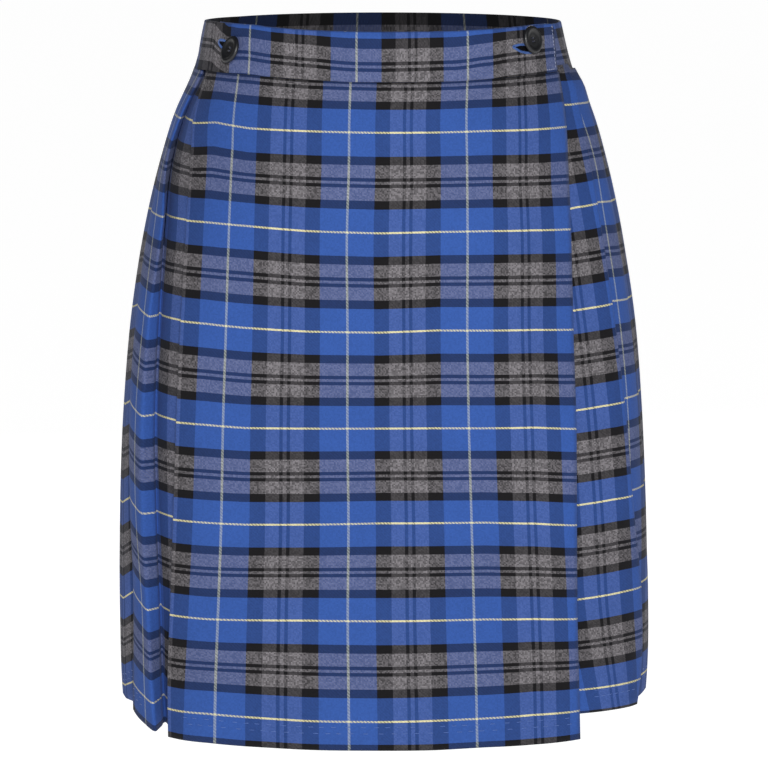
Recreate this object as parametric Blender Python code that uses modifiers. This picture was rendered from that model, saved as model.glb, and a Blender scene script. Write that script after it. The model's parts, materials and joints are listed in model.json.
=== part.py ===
"""Knee-length wrap kilt skirt, filled out as if worn and hollow.

A flat front apron folds under at its left edge and goes on as knife pleats round the left
side to the centre back. Pleats from the right side meet it there in an inverted pleat and
go on forwards under the apron as a flat under apron. A straight waistband carries the
cloth and laps at the right hip, and one button at each hip fastens it.

The frame is +Z up, the front faces -Y and +X is the viewer's right. The origin is on the
garment's axis at the top edge of the waistband. Sizes below are in millimetres.
"""

import bmesh
import bpy
import math
import numpy as np
from mathutils import Matrix, Vector

METRES_PER_MM = 0.001

# Driving sizes of the garment.
LENGTH = 505.0
BAND_HEIGHT = 34.0
BAND_WALL = 2.0
CLOTH_WALL = 1.0
SEAM_GAP = 0.6
HEM_RAISE = 12.0
BUTTON_DIAMETER = 20.0
BUTTON_THICKNESS = 3.0
BUTTON_GAP = 0.3

# Horizontal sections of the outer form that the cloth is filled out to, waist to hem.
SECTION_COLUMNS = ("drop", "half_width", "front", "back", "squareness")
SECTIONS = (
    (0, 129.0, 98.0, 98.0, 2.05),
    (35, 137.0, 104.0, 104.0, 2.10),
    (68, 151.5, 112.0, 113.0, 2.20),
    (100, 161.5, 115.5, 119.0, 2.30),
    (138, 171.0, 118.0, 125.0, 2.45),
    (207, 183.0, 122.0, 132.0, 2.80),
    (276, 189.5, 124.0, 137.0, 3.10),
    (344, 193.5, 127.0, 140.0, 3.00),
    (413, 195.5, 133.0, 142.0, 2.85),
    (484, 194.5, 140.0, 144.0, 2.70),
    (505, 193.0, 143.0, 145.0, 2.70),
)

# Arc length along the form from the centre front to each fold, at ten drops below the top
# edge, from under the band to the hem.
FOLD_DROPS = (35, 60, 90, 138, 207, 276, 344, 413, 470, 505)
FOLDS = {
    "apron_free_edge": (143.5, 143.1, 140.3, 138.2, 136.9, 138.3, 139.6, 141.4, 144.2, 146.0),
    "apron_fold": (147.4, 153.3, 149.8, 147.7, 147.8, 149.9, 153.1, 157.0, 160.5, 161.1),
    "left_valley": (158.5, 180.0, 196.0, 188.0, 184.5, 183.0, 181.5, 180.0, 182.5, 184.0),
    "left_foot": (156.5, 177.0, 189.0, 180.5, 180.8, 180.5, 178.2, 176.5, 179.0, 181.0),
    "left_ridge": (156.5, 177.5, 183.3, 174.0, 179.0, 180.8, 180.8, 176.1, 175.1, 173.8),
    "left_edge": (178.0, 194.0, 203.0, 204.0, 206.0, 209.0, 207.0, 203.0, 208.0, 211.0),
    "right_edge": (158.9, 162.1, 163.6, 167.3, 174.3, 183.0, 192.7, 207.1, 211.0, 205.1),
    "under_free_edge": (140.0, 139.0, 138.5, 137.0, 135.5, 134.0, 132.5, 131.0, 130.5, 130.0),
}

# Distance of each surface line from the form, outwards, at the same ten drops.
STANDS = {
    "under_apron": (-4.5, -4.5, -4.6, -5.0, -5.2, -5.5, -6.0, -6.5, -7.4, -8.0),
    "left_valley": (-5.0, -8.0, -6.5, -7.0, -10.5, -11.0, -11.0, -12.0, -14.0, -15.5),
    "left_foot": (-3.0, -5.0, -2.8, -3.0, -6.5, -7.0, -7.0, -7.5, -9.0, -10.0),
    "left_ridge": (0.0, 0.5, 1.0, 1.5, 2.0, 3.0, 3.5, 4.0, 3.0, 2.0),
    "left_edge": (0.5, 0.5, 0.5, 0.0, -0.5, -1.0, -1.5, -2.0, -2.0, -1.5),
    "right_edge": (0.5, 0.8, 1.0, 1.0, 1.2, 1.5, 1.8, 2.0, 1.2, 0.5),
}

# Knife pleats: fold edges on each side, the last one at the centre back.
EDGES_PER_SIDE = 12
SETT = 84.0
CENTRE_BACK_GAP = 2.0
CLOSEST_UNDERLAP = 0.86
APRON_UNDERLAP = (14.0, 15.5, 17.0, 19.0, 21.0, 23.0, 24.0, 25.0, 25.0, 25.0)
LAYER_PITCH = (1.7, 1.7, 1.7, 1.7, 1.8, 1.9, 2.1, 2.4, 2.7, 3.0)
APRON_FOLD_PITCH = (1.5, 1.5, 1.5, 1.6, 1.9, 2.2, 2.9, 3.6, 4.5, 5.2)
TIGHT_PITCH = 1.5
APRON_JOIN = 0.5
EDGE_WANDER = 1.4
EDGE_LIFT = 0.9

# Heights of the rings of each panel, as shares of the way from its top edge to its hem.
PANEL_LEVELS = (0.0, 0.04, 0.10, 0.19, 0.31, 0.46, 0.63, 0.81, 1.0)
APRON_STRIPS = 14
UNDER_STRIPS = 12
FIRST_FACE_SPREAD = (0.0, 0.33, 0.62)
UNDER_SEAM_INSET = 25.0
JOIN_GAP = 0.3

# Waistband: arc lengths and distances from the form along its lap of more than one turn.
BAND_LEVELS = (0.0, 0.5, 1.0)
BAND_UNDER_END = 141.0
BAND_OUTER_END = 141.5
BAND_UNDER_STAND = -3.6
BAND_LAP_CLEAR = 6.0
BAND_RISE = 62.0
BAND_STRIPS = 50

# Buttons: drop below the top edge and arc length from the centre front of each centre.
BUTTONS = {
    "button_left": (15.5, -118.0),
    "button_right": (9.5, 113.0),
}
BUTTON_PROFILE = (
    (0.0, 0.62),
    (0.46, 0.62),
    (0.62, 0.80),
    (0.74, 1.0),
    (0.92, 0.94),
    (1.0, 0.62),
    (1.0, 0.36),
    (0.80, 0.0),
    (0.0, 0.0),
)
BUTTON_TURNS = 28
THREAD_HOLE_RADIUS = 1.0
THREAD_HOLE_SPACING = 2.3
THREAD_HOLE_SIDES = 10

FORM_SAMPLES = 721
SLOPE_STEP = 2.0


def clear_scene():
    for obj in list(bpy.data.objects):
        bpy.data.objects.remove(obj, do_unlink=True)


def make_collection(name):
    collection = bpy.data.collections.new(name)
    bpy.context.scene.collection.children.link(collection)
    return collection


def smooth_value(position, knots, values):
    """Value of a smooth curve through the knots, level past both ends."""
    knots = np.asarray(knots, float)
    values = np.asarray(values, float)
    slopes = np.gradient(values, knots)
    place = min(max(position, knots[0]), knots[-1])
    index = min(int(np.searchsorted(knots, place, side="right")) - 1, len(knots) - 2)
    width = knots[index + 1] - knots[index]
    share = (place - knots[index]) / width
    start = values[index] * (1 + 2 * share) * (1 - share) ** 2
    end = values[index + 1] * share**2 * (3 - 2 * share)
    leave = slopes[index] * width * share * (1 - share) ** 2
    arrive = slopes[index + 1] * width * share**2 * (share - 1)
    return float(start + end + leave + arrive)


def section_size(column, drop):
    index = SECTION_COLUMNS.index(column)
    drops = [row[0] for row in SECTIONS]
    return smooth_value(drop, drops, [row[index] for row in SECTIONS])


def fold_arc(name, drop):
    return smooth_value(drop, FOLD_DROPS, FOLDS[name])


def stand(name, drop):
    return smooth_value(drop, FOLD_DROPS, STANDS[name])


FORM_CACHE = {}


def form_half(drop):
    """Points and arc lengths of the right half of a section, centre front to centre back."""
    key = round(drop, 3)
    if key in FORM_CACHE:
        return FORM_CACHE[key]
    half_width = section_size("half_width", drop)
    front = section_size("front", drop)
    back = section_size("back", drop)
    power = section_size("squareness", drop)
    angle = np.linspace(0.0, math.pi, FORM_SAMPLES)
    depth = np.where(np.cos(angle) > 0, front, back)
    across = np.abs(np.sin(angle)) / half_width
    along = np.abs(np.cos(angle)) / depth
    radius = (across**power + along**power) ** (-1 / power)
    x = radius * np.sin(angle)
    y = -radius * np.cos(angle)
    steps = np.hypot(np.diff(x), np.diff(y))
    arc = np.concatenate([[0.0], np.cumsum(steps)])
    FORM_CACHE[key] = (x, y, arc)
    return FORM_CACHE[key]


def half_girth(drop):
    return float(form_half(drop)[2][-1])


def form_point(drop, arc, outwards=0.0):
    """Point at an arc length from the centre front, positive to the right, off the form."""
    x, y, arcs = form_half(drop)
    girth = arcs[-1]
    wrapped = (arc + girth) % (2 * girth) - girth
    side = -1.0 if wrapped < 0 else 1.0
    place = abs(wrapped)
    before = max(place - SLOPE_STEP, 0.0)
    after = min(place + SLOPE_STEP, girth)
    run_x = np.interp(after, arcs, x) - np.interp(before, arcs, x)
    run_y = np.interp(after, arcs, y) - np.interp(before, arcs, y)
    run = math.hypot(run_x, run_y)
    px = np.interp(place, arcs, x) + outwards * run_y / run
    py = np.interp(place, arcs, y) - outwards * run_x / run
    return Vector((side * px, py, -drop))


def edge_arc(side, number, drop):
    """Arc length of a pleat's fold edge; they spread evenly from the first to the centre back."""
    first = fold_arc(side + "_edge", drop)
    last = half_girth(drop) - CENTRE_BACK_GAP / 2
    share = (number - 1) / (EDGES_PER_SIDE - 1)
    swing = EDGE_WANDER * math.sin(2.3 * number + (0.6 if side == "left" else 0.0))
    swing *= math.sin(math.pi * share) * drop / LENGTH
    return first + (last - first) * share + swing


def edge_stand(side, number, drop):
    """Distance of a pleat's fold edge from the form."""
    if number == 1:
        return stand(side + "_edge", drop)
    lift = EDGE_LIFT * math.sin(1.7 * number + (1.1 if side == "left" else 0.0))
    close = 1.0
    if side == "right":
        close = 1.8 - 2.6 * min(max((drop - 60.0) / 130.0, 0.0), 1.0)
    return close + lift * drop / LENGTH


def layer_pitch(number, drop):
    pitch = smooth_value(drop, FOLD_DROPS, LAYER_PITCH)
    return pitch * (1.0 + 0.25 * math.sin(2.9 * number) * drop / LENGTH)


def face_start(side, number, drop):
    """Arc length and stand of the line where a pleat's visible face begins."""
    if number > 1:
        start = edge_stand(side, number - 1, drop) - 2 * layer_pitch(number - 1, drop)
        return edge_arc(side, number - 1, drop), start
    if side == "right":
        return fold_arc("apron_free_edge", drop), stand("under_apron", drop)
    return fold_arc("left_ridge", drop), stand("left_ridge", drop)


def inner_arc(side, number, drop):
    """Arc length of a pleat's inner fold. A pleat takes one sett of cloth where it can."""
    edge = edge_arc(side, number, drop)
    if number == 1 and side == "left":
        return fold_arc("left_ridge", drop)
    if number == 1:
        return edge - CLOSEST_UNDERLAP * (edge - fold_arc("apron_free_edge", drop)) * 0.5
    face = edge - edge_arc(side, number - 1, drop)
    underlap = min((SETT - face) / 2, CLOSEST_UNDERLAP * face)
    return edge - underlap


def face_stand(side, number, arc, drop):
    """Distance from the form of a pleat's face at an arc length on it."""
    start_arc, start = face_start(side, number, drop)
    end_arc = edge_arc(side, number, drop)
    end = edge_stand(side, number, drop)
    share = (arc - start_arc) / (end_arc - start_arc)
    return start + (end - start) * share


def hem_raise(side, number):
    """Height of the hem above the apron's: it climbs evenly round the back to the right side."""
    turns = 2 * EDGES_PER_SIDE
    place = number if side == "left" else turns - number
    return HEM_RAISE * place / turns


def hem_short(side, number):
    """How much further a pleat's own hem is cut above the even climb."""
    if side == "left":
        return 0.0 if number < 2 else 12.0 - 0.36 * (number - 2)
    return (0.0, 2.5, 7.0)[number] if number < 3 else 8.0


def pleat_stations(side, number):
    """Lines of one pleat from its face to its last hidden layer, as functions of the drop."""

    def edge(layer):
        def at(drop):
            arc = edge_arc(side, number, drop)
            return arc, edge_stand(side, number, drop) - layer * layer_pitch(number, drop)

        return at

    def inner(layer):
        def at(drop):
            arc = inner_arc(side, number, drop)
            if side == "left" and number == 1 and layer:
                arc = 0.6 * edge_arc(side, number, drop) + 0.4 * arc
            depth = layer * layer_pitch(number, drop)
            return arc, face_stand(side, number, arc, drop) - depth

        return at

    outer = hem_raise(side, number) + hem_short(side, number)
    inside = 0.35 * hem_short(side, number) + 0.65 * hem_short(side, max(number - 1, 1))
    inside = hem_raise(side, number) + inside
    lines = [
        (inner(0), inside),
        (edge(0), outer),
        (edge(1), outer),
        (inner(1), inside),
        (inner(2), inside),
    ]
    if number < EDGES_PER_SIDE:
        lines.append((edge(2), outer))
    return lines


def centre_back_station(side):
    """Last line of a panel, at its seam inside the inverted pleat."""

    def at(drop):
        arc = half_girth(drop) - JOIN_GAP / 2
        depth = 2 * layer_pitch(EDGES_PER_SIDE, drop)
        return arc, edge_stand(side, EDGES_PER_SIDE, drop) - depth

    return [(at, hem_raise(side, EDGES_PER_SIDE) + hem_short(side, EDGES_PER_SIDE))]


def apron_fold_station(layer, share):
    """Line in the fold at the apron's left edge; share 0 is its edge and 1 its inner fold."""

    def at(drop):
        edge = fold_arc("apron_fold", drop)
        underlap = smooth_value(drop, FOLD_DROPS, APRON_UNDERLAP)
        wide = smooth_value(drop, FOLD_DROPS, APRON_FOLD_PITCH)
        pitch = wide + (TIGHT_PITCH - wide) * share
        return edge - underlap * share, -layer * pitch

    return at


def fold_line_station(name):
    def at(drop):
        return fold_arc(name, drop), stand(name, drop)

    return at


def first_face_station(share):
    """Line of the right side's first face, between the apron's free edge and its own fold."""

    def at(drop):
        start = face_start("right", 1, drop)[0]
        end = inner_arc("right", 1, drop)
        arc = start + (end - start) * share
        return arc, face_stand("right", 1, arc, drop)

    return at


def under_seam_station(shift):
    def at(drop):
        arc = fold_arc("apron_free_edge", drop) - UNDER_SEAM_INSET + shift
        return arc, stand("under_apron", drop)

    return at


def left_panel_lines():
    after_split = APRON_JOIN + JOIN_GAP / APRON_UNDERLAP[0]
    lines = [(apron_fold_station(1, after_split), 0.0)]
    lines.append((apron_fold_station(1, 1.0), 0.0))
    lines.append((apron_fold_station(2, 1.0), 0.0))
    lines.append((apron_fold_station(2, APRON_JOIN), 0.0))
    lines.append((apron_fold_station(2, 0.0), 0.0))
    lines.append((fold_line_station("left_valley"), hem_raise("left", 1)))
    lines.append((fold_line_station("left_foot"), hem_raise("left", 1)))
    for number in range(1, EDGES_PER_SIDE + 1):
        lines.extend(pleat_stations("left", number))
    return lines + centre_back_station("left")


def right_panel_lines():
    rise = HEM_RAISE + hem_short("right", 1)
    lines = [(under_seam_station(JOIN_GAP / 2), rise)]
    for share in FIRST_FACE_SPREAD:
        lines.append((first_face_station(share), rise))
    for number in range(1, EDGES_PER_SIDE + 1):
        lines.extend(pleat_stations("right", number))
    return lines + centre_back_station("right")


def apron_lines():
    """Lines of the front apron from its free edge on the right to inside its left fold."""

    def strip(share):
        def at(drop):
            right = fold_arc("apron_free_edge", drop)
            left = -apron_fold_station(0, 1.0)(drop)[0]
            return right + (left - right) * share, 0.0

        return at

    def mirrored(line):
        def at(drop):
            arc, outwards = line(drop)
            return -arc, outwards

        return at

    lines = [strip(index / APRON_STRIPS) for index in range(APRON_STRIPS + 1)]
    lines.append(mirrored(apron_fold_station(0, APRON_JOIN)))
    lines.append(mirrored(apron_fold_station(0, 0.0)))
    lines.append(mirrored(apron_fold_station(1, 0.0)))
    lines.append(mirrored(apron_fold_station(1, APRON_JOIN)))
    return [(line, 0.0) for line in lines]


def under_apron_lines():
    """Lines of the under apron from its free edge at the left to its seam on the right."""

    def strip(share):
        def at(drop):
            left = -fold_arc("under_free_edge", drop)
            right = under_seam_station(-JOIN_GAP / 2)(drop)[0]
            return left + (right - left) * share, stand("under_apron", drop)

        return at

    shares = [index / UNDER_STRIPS for index in range(UNDER_STRIPS + 1)]
    return [(strip(share), HEM_RAISE) for share in shares]


def band_lines():
    """Lines of the waistband, from its end under the left hip to its end on the right hip."""

    def strip(share):
        def at(drop):
            whole_turn = 2 * half_girth(drop)
            start = -BAND_UNDER_END
            arc = start + (BAND_OUTER_END + whole_turn - start) * share
            rise = (arc - BAND_OUTER_END - BAND_LAP_CLEAR) / BAND_RISE
            rise = min(max(rise, 0.0), 1.0)
            ease = rise * rise * (3 - 2 * rise)
            return arc, BAND_UNDER_STAND * (1 - ease)

        return at

    return [(strip(index / BAND_STRIPS), 0.0) for index in range(BAND_STRIPS + 1)]


def rings_of(lines, side, top, hem, levels):
    """Points of each ring of a panel, with each line's arc length at that ring."""
    rings = []
    for level in levels:
        ring = []
        for line, rise in lines:
            drop = top + (hem - rise - top) * level
            arc, outwards = line(drop)
            ring.append((form_point(drop, side * arc, outwards), side * arc))
        rings.append(ring)
    return rings


def sheet_object(name, rings, wall, collection, material):
    """Cloth panel: a sheet lofted through its rings, made a wall by a Solidify modifier."""
    shape = bmesh.new()
    grid = []
    for ring in rings:
        grid.append([shape.verts.new(point * METRES_PER_MM) for point, arc in ring])
    for upper, lower, ring in zip(grid, grid[1:], rings):
        for index in range(len(ring) - 1):
            ahead = ring[index + 1][1] >= ring[index][1]
            a, b = upper[index], upper[index + 1]
            c, d = lower[index + 1], lower[index]
            # Layers that lie on each other are cut along the same diagonal.
            if ahead:
                shape.faces.new((a, c, b))
                shape.faces.new((a, d, c))
            else:
                shape.faces.new((a, d, b))
                shape.faces.new((b, d, c))
    mesh = bpy.data.meshes.new(name)
    shape.to_mesh(mesh)
    shape.free()
    mesh.materials.append(material)
    obj = bpy.data.objects.new(name, mesh)
    collection.objects.link(obj)
    wall_maker = obj.modifiers.new("cloth wall", "SOLIDIFY")
    wall_maker.thickness = wall * METRES_PER_MM
    wall_maker.offset = 0.0
    wall_maker.use_even_offset = True
    return obj


def surface_frame(drop, arc):
    """Point on the form and the outward normal there."""
    here = form_point(drop, arc)
    around = form_point(drop, arc + SLOPE_STEP) - form_point(drop, arc - SLOPE_STEP)
    down = form_point(drop + SLOPE_STEP, arc) - form_point(max(drop - SLOPE_STEP, 0.0), arc)
    normal = down.cross(around).normalized()
    return here, normal


def button_object(name, drop, arc, collection, cutters, material):
    """Turned four-hole button lying on the band, its face outwards."""
    radius = BUTTON_DIAMETER / 2 * METRES_PER_MM
    thick = BUTTON_THICKNESS * METRES_PER_MM
    profile = bpy.data.meshes.new(name)
    outline = [(radius * across, 0.0, thick * height) for across, height in BUTTON_PROFILE]
    edges = [(index, index + 1) for index in range(len(outline) - 1)]
    profile.from_pydata(outline, edges, [])
    profile.materials.append(material)
    obj = bpy.data.objects.new(name, profile)
    collection.objects.link(obj)
    turn = obj.modifiers.new("turned", "SCREW")
    turn.axis = "Z"
    turn.steps = BUTTON_TURNS
    turn.render_steps = BUTTON_TURNS
    turn.use_merge_vertices = True
    turn.merge_threshold = 0.00001
    here, normal = surface_frame(drop, arc)
    seat = here + normal * (BAND_WALL / 2 + BUTTON_GAP)
    turned = normal.to_track_quat("Z", "Y").to_matrix().to_4x4()
    obj.matrix_world = Matrix.Translation(seat * METRES_PER_MM) @ turned
    for index in range(4):
        angle = math.radians(45 + 90 * index)
        reach = THREAD_HOLE_SPACING * METRES_PER_MM / math.sqrt(2)
        place = Vector((reach * math.cos(angle), reach * math.sin(angle), thick / 2))
        hole = thread_hole(f"{name}_hole_{index + 1}", thick * 3, cutters)
        hole.matrix_world = obj.matrix_world @ Matrix.Translation(place)
        cut = obj.modifiers.new(f"thread hole {index + 1}", "BOOLEAN")
        cut.operation = "DIFFERENCE"
        cut.object = hole
    return obj


def thread_hole(name, depth, cutters):
    shape = bmesh.new()
    bmesh.ops.create_cone(
        shape,
        cap_ends=True,
        segments=THREAD_HOLE_SIDES,
        radius1=THREAD_HOLE_RADIUS * METRES_PER_MM,
        radius2=THREAD_HOLE_RADIUS * METRES_PER_MM,
        depth=depth,
    )
    mesh = bpy.data.meshes.new(name)
    shape.to_mesh(mesh)
    shape.free()
    hole = bpy.data.objects.new(name, mesh)
    hole.hide_render = True
    hole.display_type = "WIRE"
    cutters.objects.link(hole)
    return hole


def finish(name, colour, roughness):
    material = bpy.data.materials.new(name)
    material.use_nodes = True
    shader = material.node_tree.nodes["Principled BSDF"]
    shader.inputs["Base Color"].default_value = (*colour, 1.0)
    shader.inputs["Roughness"].default_value = roughness
    shader.inputs["Metallic"].default_value = 0.0
    material.diffuse_color = (*colour, 1.0)
    return material


def build_panels(collection):
    top = BAND_HEIGHT + SEAM_GAP
    panels = (
        ("front_apron", apron_lines(), 1, (0.05, 0.12, 0.42)),
        ("under_apron", under_apron_lines(), 1, (0.05, 0.10, 0.32)),
        ("pleats_left", left_panel_lines(), -1, (0.06, 0.12, 0.38)),
        ("pleats_right", right_panel_lines(), 1, (0.06, 0.12, 0.36)),
    )
    for name, lines, side, colour in panels:
        rings = rings_of(lines, side, top, LENGTH, PANEL_LEVELS)
        cloth = finish(name + " twill", colour, 0.85)
        sheet_object(name, rings, CLOTH_WALL, collection, cloth)


def build_band(collection):
    rings = rings_of(band_lines(), 1, 0.0, BAND_HEIGHT, BAND_LEVELS)
    cloth = finish("waistband twill", (0.08, 0.11, 0.26), 0.85)
    sheet_object("waistband", rings, BAND_WALL, collection, cloth)


def build_buttons(collection, cutters):
    plastic = finish("button plastic", (0.01, 0.01, 0.012), 0.3)
    for name, (drop, arc) in BUTTONS.items():
        button_object(name, drop, arc, collection, cutters, plastic)


def main():
    clear_scene()
    garment = make_collection("kilt_skirt")
    cutters = make_collection("cutters")
    build_panels(garment)
    build_band(garment)
    build_buttons(garment, cutters)


main()
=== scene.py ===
"""Looks of the kilt skirt: checked twill sheets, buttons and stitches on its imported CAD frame."""

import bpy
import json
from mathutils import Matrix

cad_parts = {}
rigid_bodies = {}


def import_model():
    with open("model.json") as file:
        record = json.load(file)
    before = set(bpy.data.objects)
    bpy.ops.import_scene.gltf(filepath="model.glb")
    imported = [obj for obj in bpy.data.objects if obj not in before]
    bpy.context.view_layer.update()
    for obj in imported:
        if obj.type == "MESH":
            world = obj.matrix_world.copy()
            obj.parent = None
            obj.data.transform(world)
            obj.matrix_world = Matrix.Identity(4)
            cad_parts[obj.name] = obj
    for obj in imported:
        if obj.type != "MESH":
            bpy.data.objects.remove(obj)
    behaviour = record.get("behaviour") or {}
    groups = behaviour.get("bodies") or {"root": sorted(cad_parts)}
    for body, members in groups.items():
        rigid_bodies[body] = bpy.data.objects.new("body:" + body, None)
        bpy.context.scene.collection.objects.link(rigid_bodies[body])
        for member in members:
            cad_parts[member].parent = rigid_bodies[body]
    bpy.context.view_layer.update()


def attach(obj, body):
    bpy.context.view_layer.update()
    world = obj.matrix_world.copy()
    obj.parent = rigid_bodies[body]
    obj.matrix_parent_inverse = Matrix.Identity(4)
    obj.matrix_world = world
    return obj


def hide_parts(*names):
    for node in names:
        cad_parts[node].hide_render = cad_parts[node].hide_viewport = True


bl_info = {
    "name": "Kilt skirt",
    "version": (1, 0, 0),
    "blender": (4, 5, 0),
    "location": "View3D > Sidebar > Kilt",
    "description": "Builds a wrap kilt skirt of checked twill around its CAD frame",
    "category": "Object",
}

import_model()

import json
import math
from contextlib import contextmanager

import bpy
import numpy as np
from bpy.props import FloatProperty, FloatVectorProperty, IntProperty, PointerProperty
from mathutils import Matrix, Vector

BODY = "root"
MM = 0.001

# The garment's form, as in the CAD source: horizontal sections, waist to hem, in millimetres.
LENGTH = 505.0
BAND_HEIGHT = 34.0
HEM_RAISE = 12.0
SECTION_DROPS = (0, 35, 68, 100, 138, 207, 276, 344, 413, 484, 505)
SECTION_SIZES = {
    "half_width": (129.0, 137.0, 151.5, 161.5, 171.0, 183.0, 189.5, 193.5, 195.5, 194.5, 193.0),
    "front": (98.0, 104.0, 112.0, 115.5, 118.0, 122.0, 124.0, 127.0, 133.0, 140.0, 143.0),
    "back": (98.0, 104.0, 113.0, 119.0, 125.0, 132.0, 137.0, 140.0, 142.0, 144.0, 145.0),
    "squareness": (2.05, 2.10, 2.20, 2.30, 2.45, 2.80, 3.10, 3.00, 2.85, 2.70, 2.70),
}

# Arc length round the form from the centre front to each fold, and each line's distance
# outwards from the form, at ten drops below the top edge.
DROPS = (35, 60, 90, 138, 207, 276, 344, 413, 470, 505)
FOLDS = {
    "apron_free_edge": (143.5, 143.1, 140.3, 138.2, 136.9, 138.3, 139.6, 141.4, 144.2, 146.0),
    "apron_fold": (147.4, 153.3, 149.8, 147.7, 147.8, 149.9, 153.1, 157.0, 160.5, 161.1),
    "left_valley": (158.5, 179.5, 196.0, 188.0, 184.5, 183.0, 181.5, 180.0, 182.5, 184.0),
    "left_foot": (156.0, 175.0, 189.0, 180.5, 180.8, 180.5, 178.2, 176.5, 179.0, 181.0),
    "left_ridge": (155.5, 171.4, 183.3, 174.0, 179.0, 180.8, 180.8, 176.1, 175.1, 173.8),
    "left_edge": (178.0, 194.0, 203.0, 204.0, 206.0, 209.0, 207.0, 203.0, 208.0, 211.0),
    "right_edge": (158.9, 162.1, 163.6, 167.3, 174.3, 183.0, 192.7, 207.1, 211.0, 205.1),
    "under_free_edge": (140.0, 139.0, 138.5, 137.0, 135.5, 134.0, 132.5, 131.0, 130.5, 130.0),
}
STANDS = {
    "under_apron": (-4.5, -4.5, -4.6, -5.0, -5.2, -5.5, -6.0, -6.5, -7.4, -8.0),
    "left_valley": (-4.0, -5.0, -6.5, -7.0, -10.5, -11.0, -11.0, -12.0, -14.0, -15.5),
    "left_foot": (-2.0, -2.3, -2.8, -3.0, -6.5, -7.0, -7.0, -7.5, -9.0, -10.0),
    "left_ridge": (0.0, 0.5, 1.0, 1.5, 2.0, 3.0, 3.5, 4.0, 3.0, 2.0),
    "left_edge": (0.5, 0.5, 0.5, 0.0, -0.5, -1.0, -1.5, -2.0, -2.0, -1.5),
    "right_edge": (0.5, 0.8, 1.0, 1.0, 1.2, 1.5, 1.8, 2.0, 1.2, 0.5),
}
EDGES_PER_SIDE = 12
SETT = 84.0
CENTRE_BACK_GAP = 2.0
CLOSEST_UNDERLAP = 0.86
APRON_UNDERLAP = (14.0, 15.5, 17.0, 19.0, 21.0, 23.0, 24.0, 25.0, 25.0, 25.0)
LAYER_PITCH = (1.7, 1.7, 1.7, 1.7, 1.8, 1.9, 2.1, 2.4, 2.7, 3.0)
APRON_FOLD_PITCH = (1.5, 1.5, 1.5, 1.6, 1.9, 2.2, 2.9, 3.6, 4.5, 5.2)
TIGHT_PITCH = 1.5
APRON_JOIN = 0.5
EDGE_WANDER = 1.4
EDGE_LIFT = 0.9
UNDER_SEAM_INSET = 25.0
APRON_STRIPS = 12
BAND_TUCK = 4.0
JOIN_GAP = 0.3
# Columns of the left panel whose creases are rounded: at the next crease and the first pleat.
LEFT_SOFT = ((27, 34), (37, 40))
# How much shorter than the weft lines above them the pleats' hems are cut.
LEFT_SHORT = 12.0
LEFT_SHORT_STEP = 0.36
RIGHT_SHORTS = (0.0, 2.5, 7.0, 8.0)

# Waves round the hanging cloth: height in millimetres, number in half a turn and phase.
WAVES = ((1.1, 5, 0.9), (0.7, 9, 2.2), (0.45, 14, -0.6))
# The cloth is pushed out over the right hip: how far, its drop, depth and span round the form.
HIP_BULGE = 2.3
HIP_DROP = 46.0
HIP_DEPTH = 10.0
HIP_SPAN = (140.0, 250.0)

# Where the check lies on each panel. Cut lengths run along the weft from a pale warp line.
# The apron's three pale lines are one repeat apart.
APRON_WHITES = (
    (-109.9, -110.5, -110.7, -110.8, -112.0, -114.3, -116.0, -118.7, -120.9, -121.5),
    (-23.3, -24.2, -24.4, -26.0, -25.6, -25.7, -25.0, -25.6, -25.0, -24.6),
    (58.6, 57.5, 58.0, 58.4, 58.3, 59.6, 61.7, 63.8, 65.6, 66.3),
)
APRON_LEFT_BLACK = (-132.6, -134.8, -132.3, -131.2, -131.9, -134.5, -137.4, -141.8, -145.9, -147.9)
APRON_LEFT_BLACK_CUT = -102.4
APRON_FOLD_CUT = -115.2
APRON_FREE_CUT = 166.0
LEFT_WHITE = (160.0, 180.0, 190.5, 187.0, 187.0, 191.0, 191.0, 184.0, 185.0, 186.0)
LEFT_GREY_END = (153.0, 163.0, 166.0, 165.5, 165.5, 167.0, 168.5, 170.5, 172.0, 172.5)
RIGHT_THIN_PAIR = (131.0, 131.6, 134.0, 140.0, 147.0, 154.0, 161.0, 168.0, 179.0, 187.0)
RIGHT_THIN_SCALE = (1.0, 1.0, 1.0, 1.0, 1.06, 1.12, 1.16, 1.2, 1.1, 1.0)
RIGHT_SECOND_WHITE = (161.5, 166.4, 174.5, 178.2, 185.6, 191.6, 195.6, 198.0, 198.5, 198.5)
THIN_PAIR_CUT = 42.35
# Cut lengths at the apron's fold, at the end of the grey beside it and at the next crease.
LEFT_FIRST_CUTS = (40.0, 29.15, 18.4)
LEFT_RIDGE_CUT = 17.5
LEFT_SECOND_CUT = -18.0
# Cloth that a fold takes up, in pitches of its layers.
FOLD_TAKE = 1.6
WEFT_LINE_DROPS = (68.2, 137.9, 207.4, 275.7, 343.7, 412.7, 484.3, 553.0)
WEFT_TOP = ((-1.4, 0.0), (34.4, 32.6), (39.0, 37.0), (47.0, 47.16))

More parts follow.
